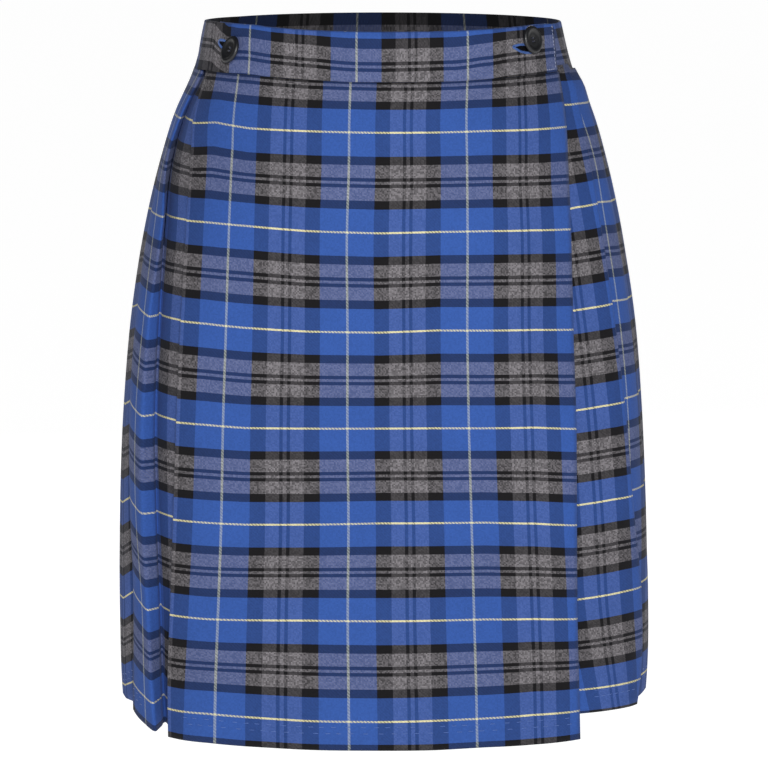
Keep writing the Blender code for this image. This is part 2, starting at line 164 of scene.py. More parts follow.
# How far the hanging cloth sags below its place in the flat, in millimetres at nine drops.
SAG_DROPS = (34, 68, 138, 207, 276, 344, 413, 484, 505)
APRON_SAGS = (
    (-150.0, (-3.0, -1.0, -3.7, -3.5, -0.2, 2.2, 2.5, 0.1, 0.1)),
    (-127.0, (-3.0, -3.2, -4.0, -3.2, -0.2, 2.1, 2.2, -1.0, -0.6)),
    (-98.0, (-2.9, -0.8, -3.2, -1.7, 0.9, 2.1, 1.4, -0.4, 0.0)),
    (-54.0, (-0.9, -0.3, -0.9, -0.1, 0.4, 0.9, 0.0, 0.3, 0.2)),
    (-3.0, (0, 0.3, 0.3, 0.4, 0.1, -0.5, 0.0, 0.3, 0.0)),
    (38.0, (0, 0.3, -0.5, -1.1, -0.1, -0.6, -0.3, -0.4, -0.2)),
    (72.0, (-0.8, 0.1, -0.4, -0.5, 0.3, -0.4, -0.3, -0.9, -1.0)),
    (107.0, (-1.9, 0.8, 0.4, 0.1, 0.7, 1.4, 0.8, -1.8, -1.2)),
    (138.0, (-2.6, 1.0, 1.7, 1.9, 3.6, 5.0, 3.7, -0.5, -0.4)),
)
LEFT_SAGS = (
    ("apron_fold", 0, (-3.0, -1.0, -3.7, -3.5, -0.2, 2.2, 2.5, 0.1, 0.1)),
    ("apron_fold", 4, (-3.0, -1.5, -3.5, -3.2, -0.4, 2.2, 3.0, 2.8, 4.8)),
    ("left_ridge", 0, (-3.0, -2.0, -3.2, -2.9, -0.7, 1.8, 2.0, -1.2, -1.0)),
    ("left_edge", 0, (-3.0, -3.2, -4.5, -8.2, -7.9, -6.2, -7.6, -10.0, -9.0)),
    ("left_edge", 24, (-1.5, -2.0, -2.6, -2.0, 0.2, 4.0, 4.8, -0.2, -1.5)),
    ("left_edge", 70, (0, 0, 0, 0, 0, 0, 0, 0, 0)),
)
RIGHT_SAGS = (
    ("apron_free_edge", 0, (-2.6, 0.1, 0.6, 1.9, 4.0, 4.0, 3.2, -2.1, -2.5)),
    ("right_edge", -18, (-2.6, -0.9, -0.9, 0.0, 1.4, 1.6, 1.3, -1.2, -1.0)),
    ("right_edge", 0, (-2.4, -1.9, -2.3, -1.2, 0.7, 1.7, 1.6, -0.4, 0.3)),
    ("right_edge", 4, (-2.4, -1.7, -3.4, -3.0, -1.3, -1.4, 0.6, 0.0, 0.0)),
    ("right_edge", 26, (-1.0, -1.4, -1.6, -1.6, -0.9, -0.9, 1.1, 0.0, 0.0)),
    ("right_edge", 70, (0, 0, 0, 0, 0, 0, 0, 0, 0)),
)

# The sett of the check: where each yarn colour ends, measured from the middle of a pale line.
WARP_REPEAT = 84.0
WARP_STRIPES = (
    ("white", 0.7), ("blue", 18.4), ("black", 29.15), ("grey", 38.2), ("black", 40.6),
    ("grey", 43.0), ("black", 45.5), ("grey", 54.5), ("black", 65.2), ("blue", 83.3),
    ("white", 84.0),
)
WEFT_REPEAT = 69.6
WEFT_STRIPES = (
    ("yellow", 0.8), ("blue", 16.41), ("black", 22.45), ("grey", 31.43), ("black", 33.75),
    ("grey", 35.85), ("black", 38.17), ("grey", 47.16), ("black", 53.19), ("blue", 68.8),
    ("yellow", 69.6),
)

# Tells the kinds of yarn apart in a sett's alpha channel.
YARN_MARKS = {"blue": 0.0, "black": 0.25, "grey": 0.5, "white": 1.0, "yellow": 1.0}
YARN_KINDS = ("blue", "black", "grey", "white")
# Share of a crossing that its warp covers, and how crisply its floats show: a row for each kind of
# warp yarn, with the blue, black, grey and pale weft in turn.
WARP_COVERS = (
    (0.34, 0.31, 0.51, 0.50), (0.38, 0.34, 0.38, 0.36),
    (0.15, 0.26, 0.34, 0.14), (0.40, 0.44, 0.44, 0.24),
)
CRISPNESS = (
    (1.0, 0.3, 0.7, 2.6), (0.3, 1.0, 0.7, 2.6),
    (0.8, 0.4, 1.0, 2.6), (1.3, 1.5, 1.5, 3.0),
)
# Width of the flecks in yarns, how much plain yarns are flecked, and the twill's repeat.
FLECK_SIZE = 1.75
PLAIN_FLECK = 0.16
YARNS_PER_TWILL_LINE = 4

FORM_STEP = 2.5
FORM_SHARES = 721
SLOPE_STEP = 2.0


def linear(code):
    """Linear colour of an sRGB hex code such as 3E62B4."""
    channels = [int(code[place:place + 2], 16) / 255 for place in (0, 2, 4)]
    return tuple(c / 12.92 if c <= 0.04045 else ((c + 0.055) / 1.055) ** 2.4 for c in channels)


def smooth(place, knots, values):
    """Values of a smooth curve through the knots, level past both ends."""
    knots = np.asarray(knots, float)
    values = np.asarray(values, float)
    slopes = np.gradient(values, knots)
    place = np.clip(place, knots[0], knots[-1])
    index = np.clip(np.searchsorted(knots, place, side="right") - 1, 0, len(knots) - 2)
    width = knots[index + 1] - knots[index]
    share = (place - knots[index]) / width
    start = values[index] * (1 + 2 * share) * (1 - share) ** 2
    end = values[index + 1] * share**2 * (3 - 2 * share)
    leave = slopes[index] * width * share * (1 - share) ** 2
    arrive = slopes[index + 1] * width * share**2 * (share - 1)
    return start + end + leave + arrive


def form_grid():
    """The right half of the form: x, y and half girth on a grid of drops and arc shares."""
    drops = np.arange(-10.0, 520.1, FORM_STEP)
    shares = np.linspace(0.0, 1.0, FORM_SHARES)
    angle = np.linspace(0.0, math.pi, 1441)
    x_rows, y_rows, girths = [], [], []
    for drop in drops:
        size = {
            name: float(smooth(drop, SECTION_DROPS, row)) for name, row in SECTION_SIZES.items()}
        depth = np.where(np.cos(angle) > 0, size["front"], size["back"])
        power = size["squareness"]
        across = np.abs(np.sin(angle)) / size["half_width"]
        along = np.abs(np.cos(angle)) / depth
        radius = (across**power + along**power) ** (-1 / power)
        x, y = radius * np.sin(angle), -radius * np.cos(angle)
        arc = np.concatenate([[0.0], np.cumsum(np.hypot(np.diff(x), np.diff(y)))])
        x_rows.append(np.interp(shares * arc[-1], arc, x))
        y_rows.append(np.interp(shares * arc[-1], arc, y))
        girths.append(arc[-1])
    return drops, np.array(x_rows), np.array(y_rows), np.array(girths)


FORM_DROPS, FORM_X, FORM_Y, FORM_GIRTHS = form_grid()


def half_girth(drop):
    return np.interp(drop, FORM_DROPS, FORM_GIRTHS)


def form_lookup(drop, arc):
    """x and y on the right half of the form at a drop and an arc length from the front."""
    row = np.clip((drop - FORM_DROPS[0]) / FORM_STEP, 0, len(FORM_DROPS) - 1.001)
    column = np.clip(arc / half_girth(drop), 0, 1) * (FORM_SHARES - 1)
    r, c = row.astype(int), np.minimum(column.astype(int), FORM_SHARES - 2)
    fr, fc = row - r, column - c
    found = []
    for table in (FORM_X, FORM_Y):
        upper = table[r, c] * (1 - fc) + table[r, c + 1] * fc
        lower = table[r + 1, c] * (1 - fc) + table[r + 1, c + 1] * fc
        found.append(upper * (1 - fr) + lower * fr)
    return found


def form_points(drop, arc, outwards):
    """Points off the form in metres; arcs run from the centre front, positive to the right."""
    values = (np.asarray(value, float) for value in (drop, arc, outwards))
    drop, arc, outwards = np.broadcast_arrays(*values)
    girth = half_girth(drop)
    wrapped = (arc + girth) % (2 * girth) - girth
    side = np.where(wrapped < 0, -1.0, 1.0)
    place = np.abs(wrapped)
    x, y = form_lookup(drop, place)
    x0, y0 = form_lookup(drop, np.maximum(place - SLOPE_STEP, 0.0))
    x1, y1 = form_lookup(drop, np.minimum(place + SLOPE_STEP, girth))
    run = np.hypot(x1 - x0, y1 - y0)
    px = side * (x + outwards * (y1 - y0) / run)
    py = y - outwards * (x1 - x0) / run
    return np.stack([px, py, -drop], axis=-1) * MM


def fold(name, drop):
    return smooth(drop, DROPS, FOLDS[name])


def stand(name, drop):
    return smooth(drop, DROPS, STANDS[name])


def edge_arc(side, number, drop):
    """Arc length of a pleat's fold edge."""
    first = fold(side + "_edge", drop)
    last = half_girth(drop) - CENTRE_BACK_GAP / 2
    share = (number - 1) / (EDGES_PER_SIDE - 1)
    swing = EDGE_WANDER * math.sin(2.3 * number + (0.6 if side == "left" else 0.0))
    return first + (last - first) * share + swing * math.sin(math.pi * share) * drop / LENGTH


def edge_stand(side, number, drop):
    if number == 1:
        return stand(side + "_edge", drop)
    lift = EDGE_LIFT * math.sin(1.7 * number + (1.1 if side == "left" else 0.0))
    close = 1.0 if side == "left" else 1.8 - 2.6 * np.clip((drop - 38.0) / 130.0, 0.0, 1.0)
    return close + lift * drop / LENGTH


def layer_pitch(number, drop):
    pitch = smooth(drop, DROPS, LAYER_PITCH)
    return pitch * (1.0 + 0.25 * math.sin(2.9 * number) * drop / LENGTH)


def face_start(side, number, drop):
    """Arc length and stand of the line where a pleat's visible face begins."""
    if number > 1:
        start = edge_stand(side, number - 1, drop) - 2 * layer_pitch(number - 1, drop)
        return edge_arc(side, number - 1, drop), start
    if side == "right":
        return fold("apron_free_edge", drop), stand("under_apron", drop)
    return fold("left_ridge", drop), stand("left_ridge", drop)


def inner_arc(side, number, drop):
    """Arc length of a pleat's inner fold."""
    edge = edge_arc(side, number, drop)
    if number == 1 and side == "left":
        return fold("left_ridge", drop)
    if number == 1:
        return edge - CLOSEST_UNDERLAP * (edge - fold("apron_free_edge", drop)) * 0.5
    face = edge - edge_arc(side, number - 1, drop)
    return edge - np.minimum((SETT - face) / 2, CLOSEST_UNDERLAP * face)


def face_stand(side, number, arc, drop):
    start_arc, start = face_start(side, number, drop)
    share = (arc - start_arc) / (edge_arc(side, number, drop) - start_arc)
    return start + (edge_stand(side, number, drop) - start) * share


def hem_raise(side, number):
    """Height of the hem above the apron's."""
    turns = 2 * EDGES_PER_SIDE
    return HEM_RAISE * (number if side == "left" else turns - number) / turns


def hem_short(side, number):
    """How much shorter than the weft lines above it a pleat's hem is cut."""
    if side == "left":
        return 0.0 if number < 2 else LEFT_SHORT - LEFT_SHORT_STEP * (number - 2)
    return RIGHT_SHORTS[min(number, 3)]


def sag(knots, arc, drop):
    """Sag of the hanging cloth, straight from knot to knot round the form."""
    places = []
    for *place, values in knots:
        at = place[0] + 0 * drop if len(place) == 1 else fold(place[0], drop) + place[1]
        places.append((at, smooth(drop, SAG_DROPS, values)))
    found = places[-1][1]
    for (a0, v0), (a1, v1) in reversed(list(zip(places, places[1:]))):
        found = np.where(arc < a1, v0 + (v1 - v0) * np.clip((arc - a0) / (a1 - a0), 0, 1), found)
    return found


def weft_length(drop):
    """Cut length down the warp at a drop, in the check's own millimetres."""
    drops = [at for at, _ in WEFT_TOP] + list(WEFT_LINE_DROPS)
    lengths = [cut for _, cut in WEFT_TOP]
    lengths += [WEFT_REPEAT * (count + 1) for count in range(len(WEFT_LINE_DROPS))]
    return np.interp(drop, drops, lengths)


def apron_cut(arc, drop):
    """Cut length across the front apron, by its pale warp lines."""
    left, middle, right = (smooth(drop, DROPS, places) for places in APRON_WHITES)
    black = smooth(drop, DROPS, APRON_LEFT_BLACK)
    edge = -fold("apron_fold", drop)
    knots = (
        (edge, APRON_FOLD_CUT), (black, APRON_LEFT_BLACK_CUT), (left, -WARP_REPEAT), (middle, 0.0),
        (right, WARP_REPEAT),
    )
    scale = (APRON_FREE_CUT - WARP_REPEAT) / (fold("apron_free_edge", drop) - right)
    cut = WARP_REPEAT + (arc - right) * np.minimum(scale, WARP_REPEAT / (right - middle))
    for (a0, c0), (a1, c1) in reversed(list(zip(knots, knots[1:]))):
        cut = np.where(arc <= a1, c0 + (c1 - c0) * (arc - a0) / (a1 - a0), cut)
    return cut


def right_first_cut(arc, drop):
    """Cut length across the first face right of the apron, by its pair of thin lines."""
    scale = smooth(drop, DROPS, RIGHT_THIN_SCALE)
    return THIN_PAIR_CUT + (arc - smooth(drop, DROPS, RIGHT_THIN_PAIR)) / scale


def hem_face(side, number):
    return float(edge_arc(side, number, LENGTH) - edge_arc(side, number - 1, LENGTH))


def edge_cut(side, number, drop):
    """Cut length at a pleat's fold edge. The visible check runs on from pleat to pleat."""
    if side == "left":
        if number == 1:
            return smooth(drop, DROPS, LEFT_WHITE) - edge_arc("left", 1, drop)
        return LEFT_SECOND_CUT - sum(hem_face(side, n) for n in range(2, number + 1)) + 0 * drop
    if number == 1:
        return right_first_cut(edge_arc("right", 1, drop), drop)
    if number == 2:
        return WARP_REPEAT + edge_arc("right", 2, drop) - smooth(drop, DROPS, RIGHT_SECOND_WHITE)
    second = WARP_REPEAT + float(edge_arc("right", 2, LENGTH)) - RIGHT_SECOND_WHITE[-1]
    return second + sum(hem_face(side, n) for n in range(3, number + 1)) + 0 * drop


class Line:
    """One line of a panel from its top to its hem, and how the cloth reaches it."""

    def __init__(self, rule, rise=0.0, columns=4, bend=0.0, crown=0.0, short=0.0):
        self.rule, self.rise, self.columns = rule, rise, columns
        self.bend, self.crown, self.short = bend, crown, short


def pleat_lines(side, number):
    """Lines of one pleat: its face, its fold edge and its two hidden layers."""
    ahead = 1.0 if side == "right" else -1.0
    rise = hem_raise(side, number)
    first_left = side == "left" and number == 1

    def pitch(drop):
        return layer_pitch(number, drop)

    def edge(layer):
        def rule(drop):
            arc = edge_arc(side, number, drop)
            cut = edge_cut(side, number, drop)
            if layer == 1:
                cut = cut + ahead * FOLD_TAKE * pitch(drop)
            elif layer == 2 and number < EDGES_PER_SIDE:
                face = edge_arc(side, number + 1, drop) - arc
                cut = edge_cut(side, number + 1, drop) - ahead * face
            return arc, edge_stand(side, number, drop) - layer * pitch(drop), cut
        return rule

    def inner(layer):
        def rule(drop):
            arc = inner_arc(side, number, drop)
            if first_left and layer:
                arc = 0.6 * edge_arc(side, number, drop) + 0.4 * arc
            depth = edge_arc(side, number, drop) - arc
            height = face_stand(side, number, arc, drop)
            if layer == 0:
                if first_left:
                    cut = smooth(drop, DROPS, LEFT_WHITE) - arc
                    return arc, height, np.minimum(cut, LEFT_RIDGE_CUT)
                return arc, height, edge_cut(side, number, drop) - ahead * depth
            taken = FOLD_TAKE * pitch(drop) * layer
            past = edge_cut(side, number, drop) + ahead * (depth + taken)
            return arc, height - layer * pitch(drop), past
        return rule

    def white(drop):
        arc = smooth(drop, DROPS, LEFT_WHITE)
        return arc, face_stand(side, number, arc, drop), 0 * drop

    crown = 0.7 + 0.4 * math.sin(1.9 * number + 0.7)
    short = hem_short(side, number)
    inside = 0.35 * short + 0.65 * hem_short(side, max(number - 1, 1))
    lines = [
        Line(inner(0), rise, 6 if first_left else 2, short=inside),
        Line(edge(0), rise, 7, crown=0.3 if first_left else crown, short=short),
        Line(edge(1), rise, 4, bend=1.0, short=short),
        Line(inner(1), rise, 4, short=inside),
        Line(inner(2), rise, 3, bend=-1.0, short=inside),
    ]
    if first_left:
        lines.insert(1, Line(white, rise, 5, crown=0.3))
    if number < EDGES_PER_SIDE:
        lines.append(Line(edge(2), rise, 4, short=short))
    return lines


def centre_back_line(side):
    def rule(drop):
        height = edge_stand(side, EDGES_PER_SIDE, drop) - 2 * layer_pitch(EDGES_PER_SIDE, drop)
        return half_girth(drop) - JOIN_GAP / 2, height, edge_cut(side, EDGES_PER_SIDE, drop)
    return [Line(rule, hem_raise(side, EDGES_PER_SIDE), 4, short=hem_short(side, EDGES_PER_SIDE))]


def apron_fold_rule(layer, share):
    """Line in the fold at the apron's left edge; share 0 is its edge and 1 its inner fold."""
    def rule(drop):
        underlap = smooth(drop, DROPS, APRON_UNDERLAP)
        wide = smooth(drop, DROPS, APRON_FOLD_PITCH)
        pitch = wide + (TIGHT_PITCH - wide) * share
        reach = share * underlap if layer < 2 else (2 - share) * underlap
        cut = APRON_FOLD_CUT - layer * 2.0 + (reach if layer == 0 else -reach)
        if layer == 2 and share <= 0.5:
            arc = fold("apron_fold", drop) - underlap * share
            cut = left_first_cut(arc, drop)
        return fold("apron_fold", drop) - underlap * share, -layer * pitch, cut
    return rule


def left_first_cut(arc, drop):
    """Cut length across the strip sunk between the apron's fold and the next crease."""
    grey_end = smooth(drop, DROPS, LEFT_GREY_END)
    start, foot = fold("apron_fold", drop), fold("left_foot", drop)
    fold_cut, grey_cut, foot_cut = LEFT_FIRST_CUTS
    near = fold_cut + (grey_cut - fold_cut) * (arc - start) / (grey_end - start)
    far = grey_cut + (foot_cut - grey_cut) * (arc - grey_end) / (foot - grey_end)
    return np.where(arc < grey_end, near, far)


def left_panel_lines():
    def crease(name):
        def rule(drop):
            arc = fold(name, drop)
            at_foot = name == "left_foot"
            cut = LEFT_FIRST_CUTS[-1] + 0 * drop if at_foot else left_first_cut(arc, drop)
            return arc, stand(name, drop), cut
        return rule

    after_split = APRON_JOIN + JOIN_GAP / APRON_UNDERLAP[0]
    lines = [
        Line(apron_fold_rule(1, after_split)),
        Line(apron_fold_rule(1, 1.0)),
        Line(apron_fold_rule(2, 1.0), columns=3, bend=-1.0),
        Line(apron_fold_rule(2, APRON_JOIN)),
        Line(apron_fold_rule(2, 0.0), columns=3),
        Line(crease("left_valley"), hem_raise("left", 1), 14),
        Line(crease("left_foot"), hem_raise("left", 1), 4, bend=0.7),
    ]
    for number in range(1, EDGES_PER_SIDE + 1):
        lines.extend(pleat_lines("left", number))
    return lines + centre_back_line("left")


def right_panel_lines():
    def seam(drop):
        arc = fold("apron_free_edge", drop) - UNDER_SEAM_INSET + JOIN_GAP / 2
        return arc, stand("under_apron", drop), right_first_cut(arc, drop)

    def first_face(drop):
        arc, height = face_start("right", 1, drop)
        return arc, height, right_first_cut(arc, drop)

    def on_first_face(plain):
        def rule(drop):
            arc, height, _ = plain(drop)
            return arc, height, right_first_cut(arc, drop)
        return rule

    short = hem_short("right", 1)
    lines = [Line(seam, HEM_RAISE, short=short), Line(first_face, HEM_RAISE, 6, short=short)]
    first = pleat_lines("right", 1)
    first[0].rule = on_first_face(first[0].rule)
    first[0].columns = 8
    lines.extend(first)
    for number in range(2, EDGES_PER_SIDE + 1):
        lines.extend(pleat_lines("right", number))
    return lines + centre_back_line("right")


def apron_lines():
    """Lines of the front apron from its free edge on the right to inside its left fold."""
    def strip(share):
        def rule(drop):
            right = fold("apron_free_edge", drop)
            left = -apron_fold_rule(0, 1.0)(drop)[0]
            arc = right + (left - right) * share
            return arc, 0.0 * drop, apron_cut(arc, drop)
        return rule

    def mirrored(rule):
        def turned(drop):
            arc, outwards, cut = rule(drop)
            if rule is visible_join or rule is visible_edge:
                cut = apron_cut(-arc, drop)
            return -arc, outwards, cut
        return turned

    visible_join, visible_edge = apron_fold_rule(0, APRON_JOIN), apron_fold_rule(0, 0.0)
    lines = [Line(strip(index / APRON_STRIPS), columns=6) for index in range(APRON_STRIPS + 1)]
    lines.append(Line(mirrored(visible_join), columns=3))
    lines.append(Line(mirrored(visible_edge), columns=4))
    lines.append(Line(mirrored(apron_fold_rule(1, 0.0)), columns=6, bend=-1.0))
    lines.append(Line(mirrored(apron_fold_rule(1, APRON_JOIN)), columns=3))
    return lines


def under_apron_lines():
    """Lines of the under apron from its free edge at the left to its seam on the right."""
    def strip(share):
        def rule(drop):
            left = -fold("under_free_edge", drop)
            right = fold("apron_free_edge", drop) - UNDER_SEAM_INSET - JOIN_GAP / 2
            arc = left + (right - left) * share
            return arc, stand("under_apron", drop), right_first_cut(right, drop) + arc - right
        return rule

    return [Line(strip(index / APRON_STRIPS), HEM_RAISE, 5) for index in range(APRON_STRIPS + 1)]


def drape(arc, drop):
    """Soft troughs and ridges of the hanging cloth, in millimetres outwards."""
    loose = np.clip((drop - 60.0) / (LENGTH - 60.0), 0.0, 1.0)
    turn = math.pi * arc / half_girth(drop)
    waves = sum(height * np.sin(count * turn + phase) for height, count, phase in WAVES)
    bend = 0.5 * np.sin(0.021 * drop + 3 * turn) * np.clip(drop / 80.0 - 0.4, 0.0, 1.0)
    start, end = HIP_SPAN
    bulge = HIP_BULGE * np.exp(-(((drop - HIP_DROP) / HIP_DEPTH) ** 2))
    bulge = bulge * np.clip((arc - start) / 20.0, 0.0, 1.0) * np.clip((end - arc) / 40.0, 0.0, 1.0)
    return waves * loose**1.4 + bend * loose + bulge


def panel_grid(lines, side, top, rows):
    """Drops, arcs, stands and cut lengths of a panel's grid of points."""
    levels = np.linspace(0.0, 1.0, rows)
    grids = [[], [], [], [], []]
    last = None
    for line in lines:
        drop = top + (LENGTH - line.rise - line.short - top) * levels
        arc, outwards, cut = line.rule(drop)
        rise = np.full(rows, line.rise)
        here = [drop, side * arc, outwards + 0.0 * drop, cut + 0.0 * drop, rise]
        if last is None:
            for grid, value in zip(grids, here):
                grid.append(value)
        else:
            for step in range(1, line.columns + 1):
                share = step / line.columns
                mixed = [a + (b - a) * share for a, b in zip(last, here)]
                if line.bend:
                    middle, half = (last[2] + here[2]) / 2, (last[2] - here[2]) / 2
                    mixed[1] += side * line.bend * np.abs(half) * math.sin(math.pi * share)
                    mixed[2] = middle + half * math.cos(math.pi * share)
                if line.crown:
                    mixed[2] += line.crown * math.sin(math.pi * share) * drop / LENGTH
                for grid, value in zip(grids, mixed):
                    grid.append(value)
        last = here
    return [np.stack(grid, axis=1) for grid in grids]


def soften(grid, start, end):
    """Rounds a panel's creases between two columns."""
    for values in (grid[1], grid[2]):
        beside = values[:, start - 1:end - 1] + values[:, start + 1:end + 1]
        values[:, start:end] = 0.5 * values[:, start:end] + 0.25 * beside


def sheet_mesh(name, points, cuts, outwards_first):
    """Mesh of a grid of points whose UV map gives each point's place in the flat cut."""
    rows, columns = points.shape[:2]
    index = np.arange(rows * columns).reshape(rows, columns)
    a, b = index[:-1, :-1].ravel(), index[:-1, 1:].ravel()
    c, d = index[1:, 1:].ravel(), index[1:, :-1].ravel()
    faces = np.stack([a, d, c, b] if outwards_first else [a, b, c, d], axis=1)
    mesh = bpy.data.meshes.new(name)
    mesh.from_pydata(points.reshape(-1, 3).tolist(), [], faces.tolist())
    uv = mesh.uv_layers.new(name="cut")
    uv.data.foreach_set("uv", cuts.reshape(-1, 2)[faces.ravel()].astype(np.float32).ravel())
    mesh.update()
    return mesh


def cloth_object(name, mesh, material, wall, context):
    """Sheet object with a thin wall, smooth shaded."""
    mesh.materials.append(material)
    mesh.polygons.foreach_set("use_smooth", [True] * len(mesh.polygons))
    obj = bpy.data.objects.new(name, mesh)
    context.collection.objects.link(obj)
    shell = obj.modifiers.new("cloth wall", "SOLIDIFY")
    shell.thickness = wall * MM
    shell.offset = 0.0
    shell.use_even_offset = True
    return obj


def feed(tree, node, inputs):
    """Links sockets to a node's inputs and sets the constants among them."""
    for key, value in inputs.items():
        if isinstance(value, bpy.types.NodeSocket):
            tree.links.new(value, node.inputs[key])
        else:
            node.inputs[key].default_value = value


def put(tree, kind, inputs=None, stops=(), **settings):
    """Adds one shader node with its settings, ramp stops and links."""
    made = tree.nodes.new(kind)
    for name, value in settings.items():
        setattr(made, name, value)
    if stops:
        ramp = made.color_ramp
        ramp.interpolation = "CONSTANT"
        while len(ramp.elements) < len(stops):
            ramp.elements.new(1.0)
        for element, (position, colour) in zip(ramp.elements, stops):
            element.position = position
            element.color = colour
    feed(tree, made, inputs or {})
    return made


def new_material(name):
    """A material, its node tree and its shader."""
    material = bpy.data.materials.new(name)
    material.use_nodes = True
    tree = material.node_tree
    return material, tree, tree.nodes["Principled BSDF"]


def stripe_stops(stripes, repeat, colours):
    """Ramp stops of a sett, whose alpha tells the kind of yarn."""
    start, stops = 0.0, []
    for name, end in stripes:
        stops.append((start / repeat, (*colours[name], YARN_MARKS[name])))
        start = end
    return stops


def check_twill(name, settings, painted_inside_shade=False):
    """Wool-blend 2/2 twill, woven in a check and pressed: matt, with a slight nap and sheen."""
    colours = {kind: tuple(getattr(settings, kind + "_yarn")) for kind in (*YARN_KINDS, "yellow")}
    material, tree, shader = new_material(name)

    def maths(operation, *values):
        inputs = dict(enumerate(values))
        return put(tree, "ShaderNodeMath", inputs, operation=operation).outputs[0]

    def sett(length, stripes, repeat):
        place = maths("FRACT", maths("DIVIDE", length, repeat * MM))
        stops = stripe_stops(stripes, repeat, colours)
        return put(tree, "ShaderNodeValToRGB", {"Fac": place}, stops=stops)

    def kinds_of(yarns):
        alpha = yarns.outputs["Alpha"]
        return [maths("COMPARE", alpha, YARN_MARKS[kind], 0.1) for kind in YARN_KINDS]

    def steps(length, size):
        return maths("FLOOR", maths("DIVIDE", length, size))

    def roundness(length):
        turn = maths("MULTIPLY", maths("FRACT", maths("DIVIDE", length, yarn)), math.pi)
        return maths("SINE", turn)

    def crossing(table):
        """Value of a table at the crossing of this warp yarn and this weft yarn."""
        found = 0.0
        for warp_kind, row in zip(warp_is, table):
            share = 0.0
            for weft_kind, value in zip(weft_is, row):
                share = maths("MULTIPLY_ADD", weft_kind, value, share)
            found = maths("MULTIPLY_ADD", warp_kind, share, found)
        return found

    where = put(tree, "ShaderNodeUVMap", uv_map="cut").outputs["UV"]
    parts = put(tree, "ShaderNodeSeparateXYZ", {"Vector": where})
    across, down = parts.outputs["X"], parts.outputs["Y"]
    # Yarns lie 0.575 mm apart and the twill line repeats every 2.3 mm, drawn a little coarse to
    # show.
    yarn = settings.yarn_pitch * MM
    warp = sett(across, WARP_STRIPES, WARP_REPEAT)
    weft = sett(down, WEFT_STRIPES, WEFT_REPEAT)
    warp_is, weft_is = kinds_of(warp), kinds_of(weft)
    # Fibres in the grey yarn are light and dark; the dyed yarns vary only slightly. The specks
    # are 1 mm across, since single fibres are too fine to show.
    fleck = FLECK_SIZE * yarn
    cell = put(tree, "ShaderNodeCombineXYZ", {"X": steps(across, fleck), "Y": steps(down, fleck)})
    noise = {"Vector": cell.outputs[0]}
    speck = put(tree, "ShaderNodeTexWhiteNoise", noise, noise_dimensions="2D").outputs["Value"]
    off_mean = maths("SUBTRACT", speck, 0.5)
    mottle = settings.grey_mottle
    grey_flecks = (mottle * 0.55, maths("MULTIPLY_ADD", warp_is[0], mottle * -0.4, mottle))
    dyed = []
    for yarns, kinds, grey_fleck in zip((warp, weft), (warp_is, weft_is), grey_flecks):
        amount = maths("MULTIPLY_ADD", kinds[2], grey_fleck, PLAIN_FLECK)
        swing = maths("MULTIPLY_ADD", off_mean, amount, 1.0)
        inputs = {0: yarns.outputs["Color"], "Scale": swing}
        dyed.append(put(tree, "ShaderNodeVectorMath", inputs, operation="SCALE").outputs["Vector"])
    # The weft floats cover about two thirds of the face.
    cover = crossing(WARP_COVERS)
    weft_middle = maths("MULTIPLY", maths("ADD", steps(across, yarn), 0.5), yarn)
    slant = maths("SUBTRACT", weft_middle, down)
    twill = maths("FRACT", maths("DIVIDE", slant, yarn * YARNS_PER_TWILL_LINE))
    hard_warp = maths("LESS_THAN", twill, cover)
    # Floats are finer than the picture's points, so neighbouring yarns are blended a little.
    crisp = maths("MULTIPLY", crossing(CRISPNESS), settings.float_contrast)
    warp_up = maths("MULTIPLY_ADD", maths("SUBTRACT", hard_warp, cover), crisp, cover)
    # The Mix node repeats its socket names, so its two colours go in by number.
    inputs = {"Factor": warp_up, 6: dyed[1], 7: dyed[0]}
    woven = put(tree, "ShaderNodeMix", inputs, data_type="RGBA").outputs[2]
    # Pressing and handling leave faint lighter and darker patches about 60 mm across.
    inputs = {"Vector": where, "Scale": 16.0, "Detail": 3.0, "Roughness": 0.6}
    patch = put(tree, "ShaderNodeTexNoise", inputs).outputs[0]
    tone = maths("MULTIPLY_ADD", maths("SUBTRACT", patch, 0.5), 0.22, 1.0)
    # Painted shade: the band's inner layer is darkened, as it lies in shade inside the skirt.
    if painted_inside_shade:
        inside = put(tree, "ShaderNodeAttribute", attribute_name="inside").outputs["Fac"]
        tone = maths("MULTIPLY", tone, maths("MULTIPLY_ADD", inside, -0.6, 1.0))
    toned = put(tree, "ShaderNodeVectorMath", {0: woven, "Scale": tone}, operation="SCALE")
    # Each yarn is round, and the floats stand above the yarns that they cross.
    weft_up = maths("SUBTRACT", 1.0, warp_up)
    warp_height = maths("MULTIPLY", roundness(across), warp_up)
    relief = maths("ADD", warp_height, maths("MULTIPLY", roundness(down), weft_up))
    relief = maths("MULTIPLY_ADD", off_mean, 0.5, relief)
    bump = put(tree, "ShaderNodeBump", {"Strength": 0.3, "Distance": 0.0002, "Height": relief})
    feed(tree, shader, {
        "Base Color": toned.outputs["Vector"],
        "Normal": bump.outputs["Normal"],
        "Roughness": 0.86,
        "IOR": 1.5,
        "Specular IOR Level": 0.15,
        "Sheen Weight": settings.sheen,
        "Sheen Roughness": 0.5,
        "Sheen Tint": (0.75, 0.8, 1.0, 1.0),
    })
    return material


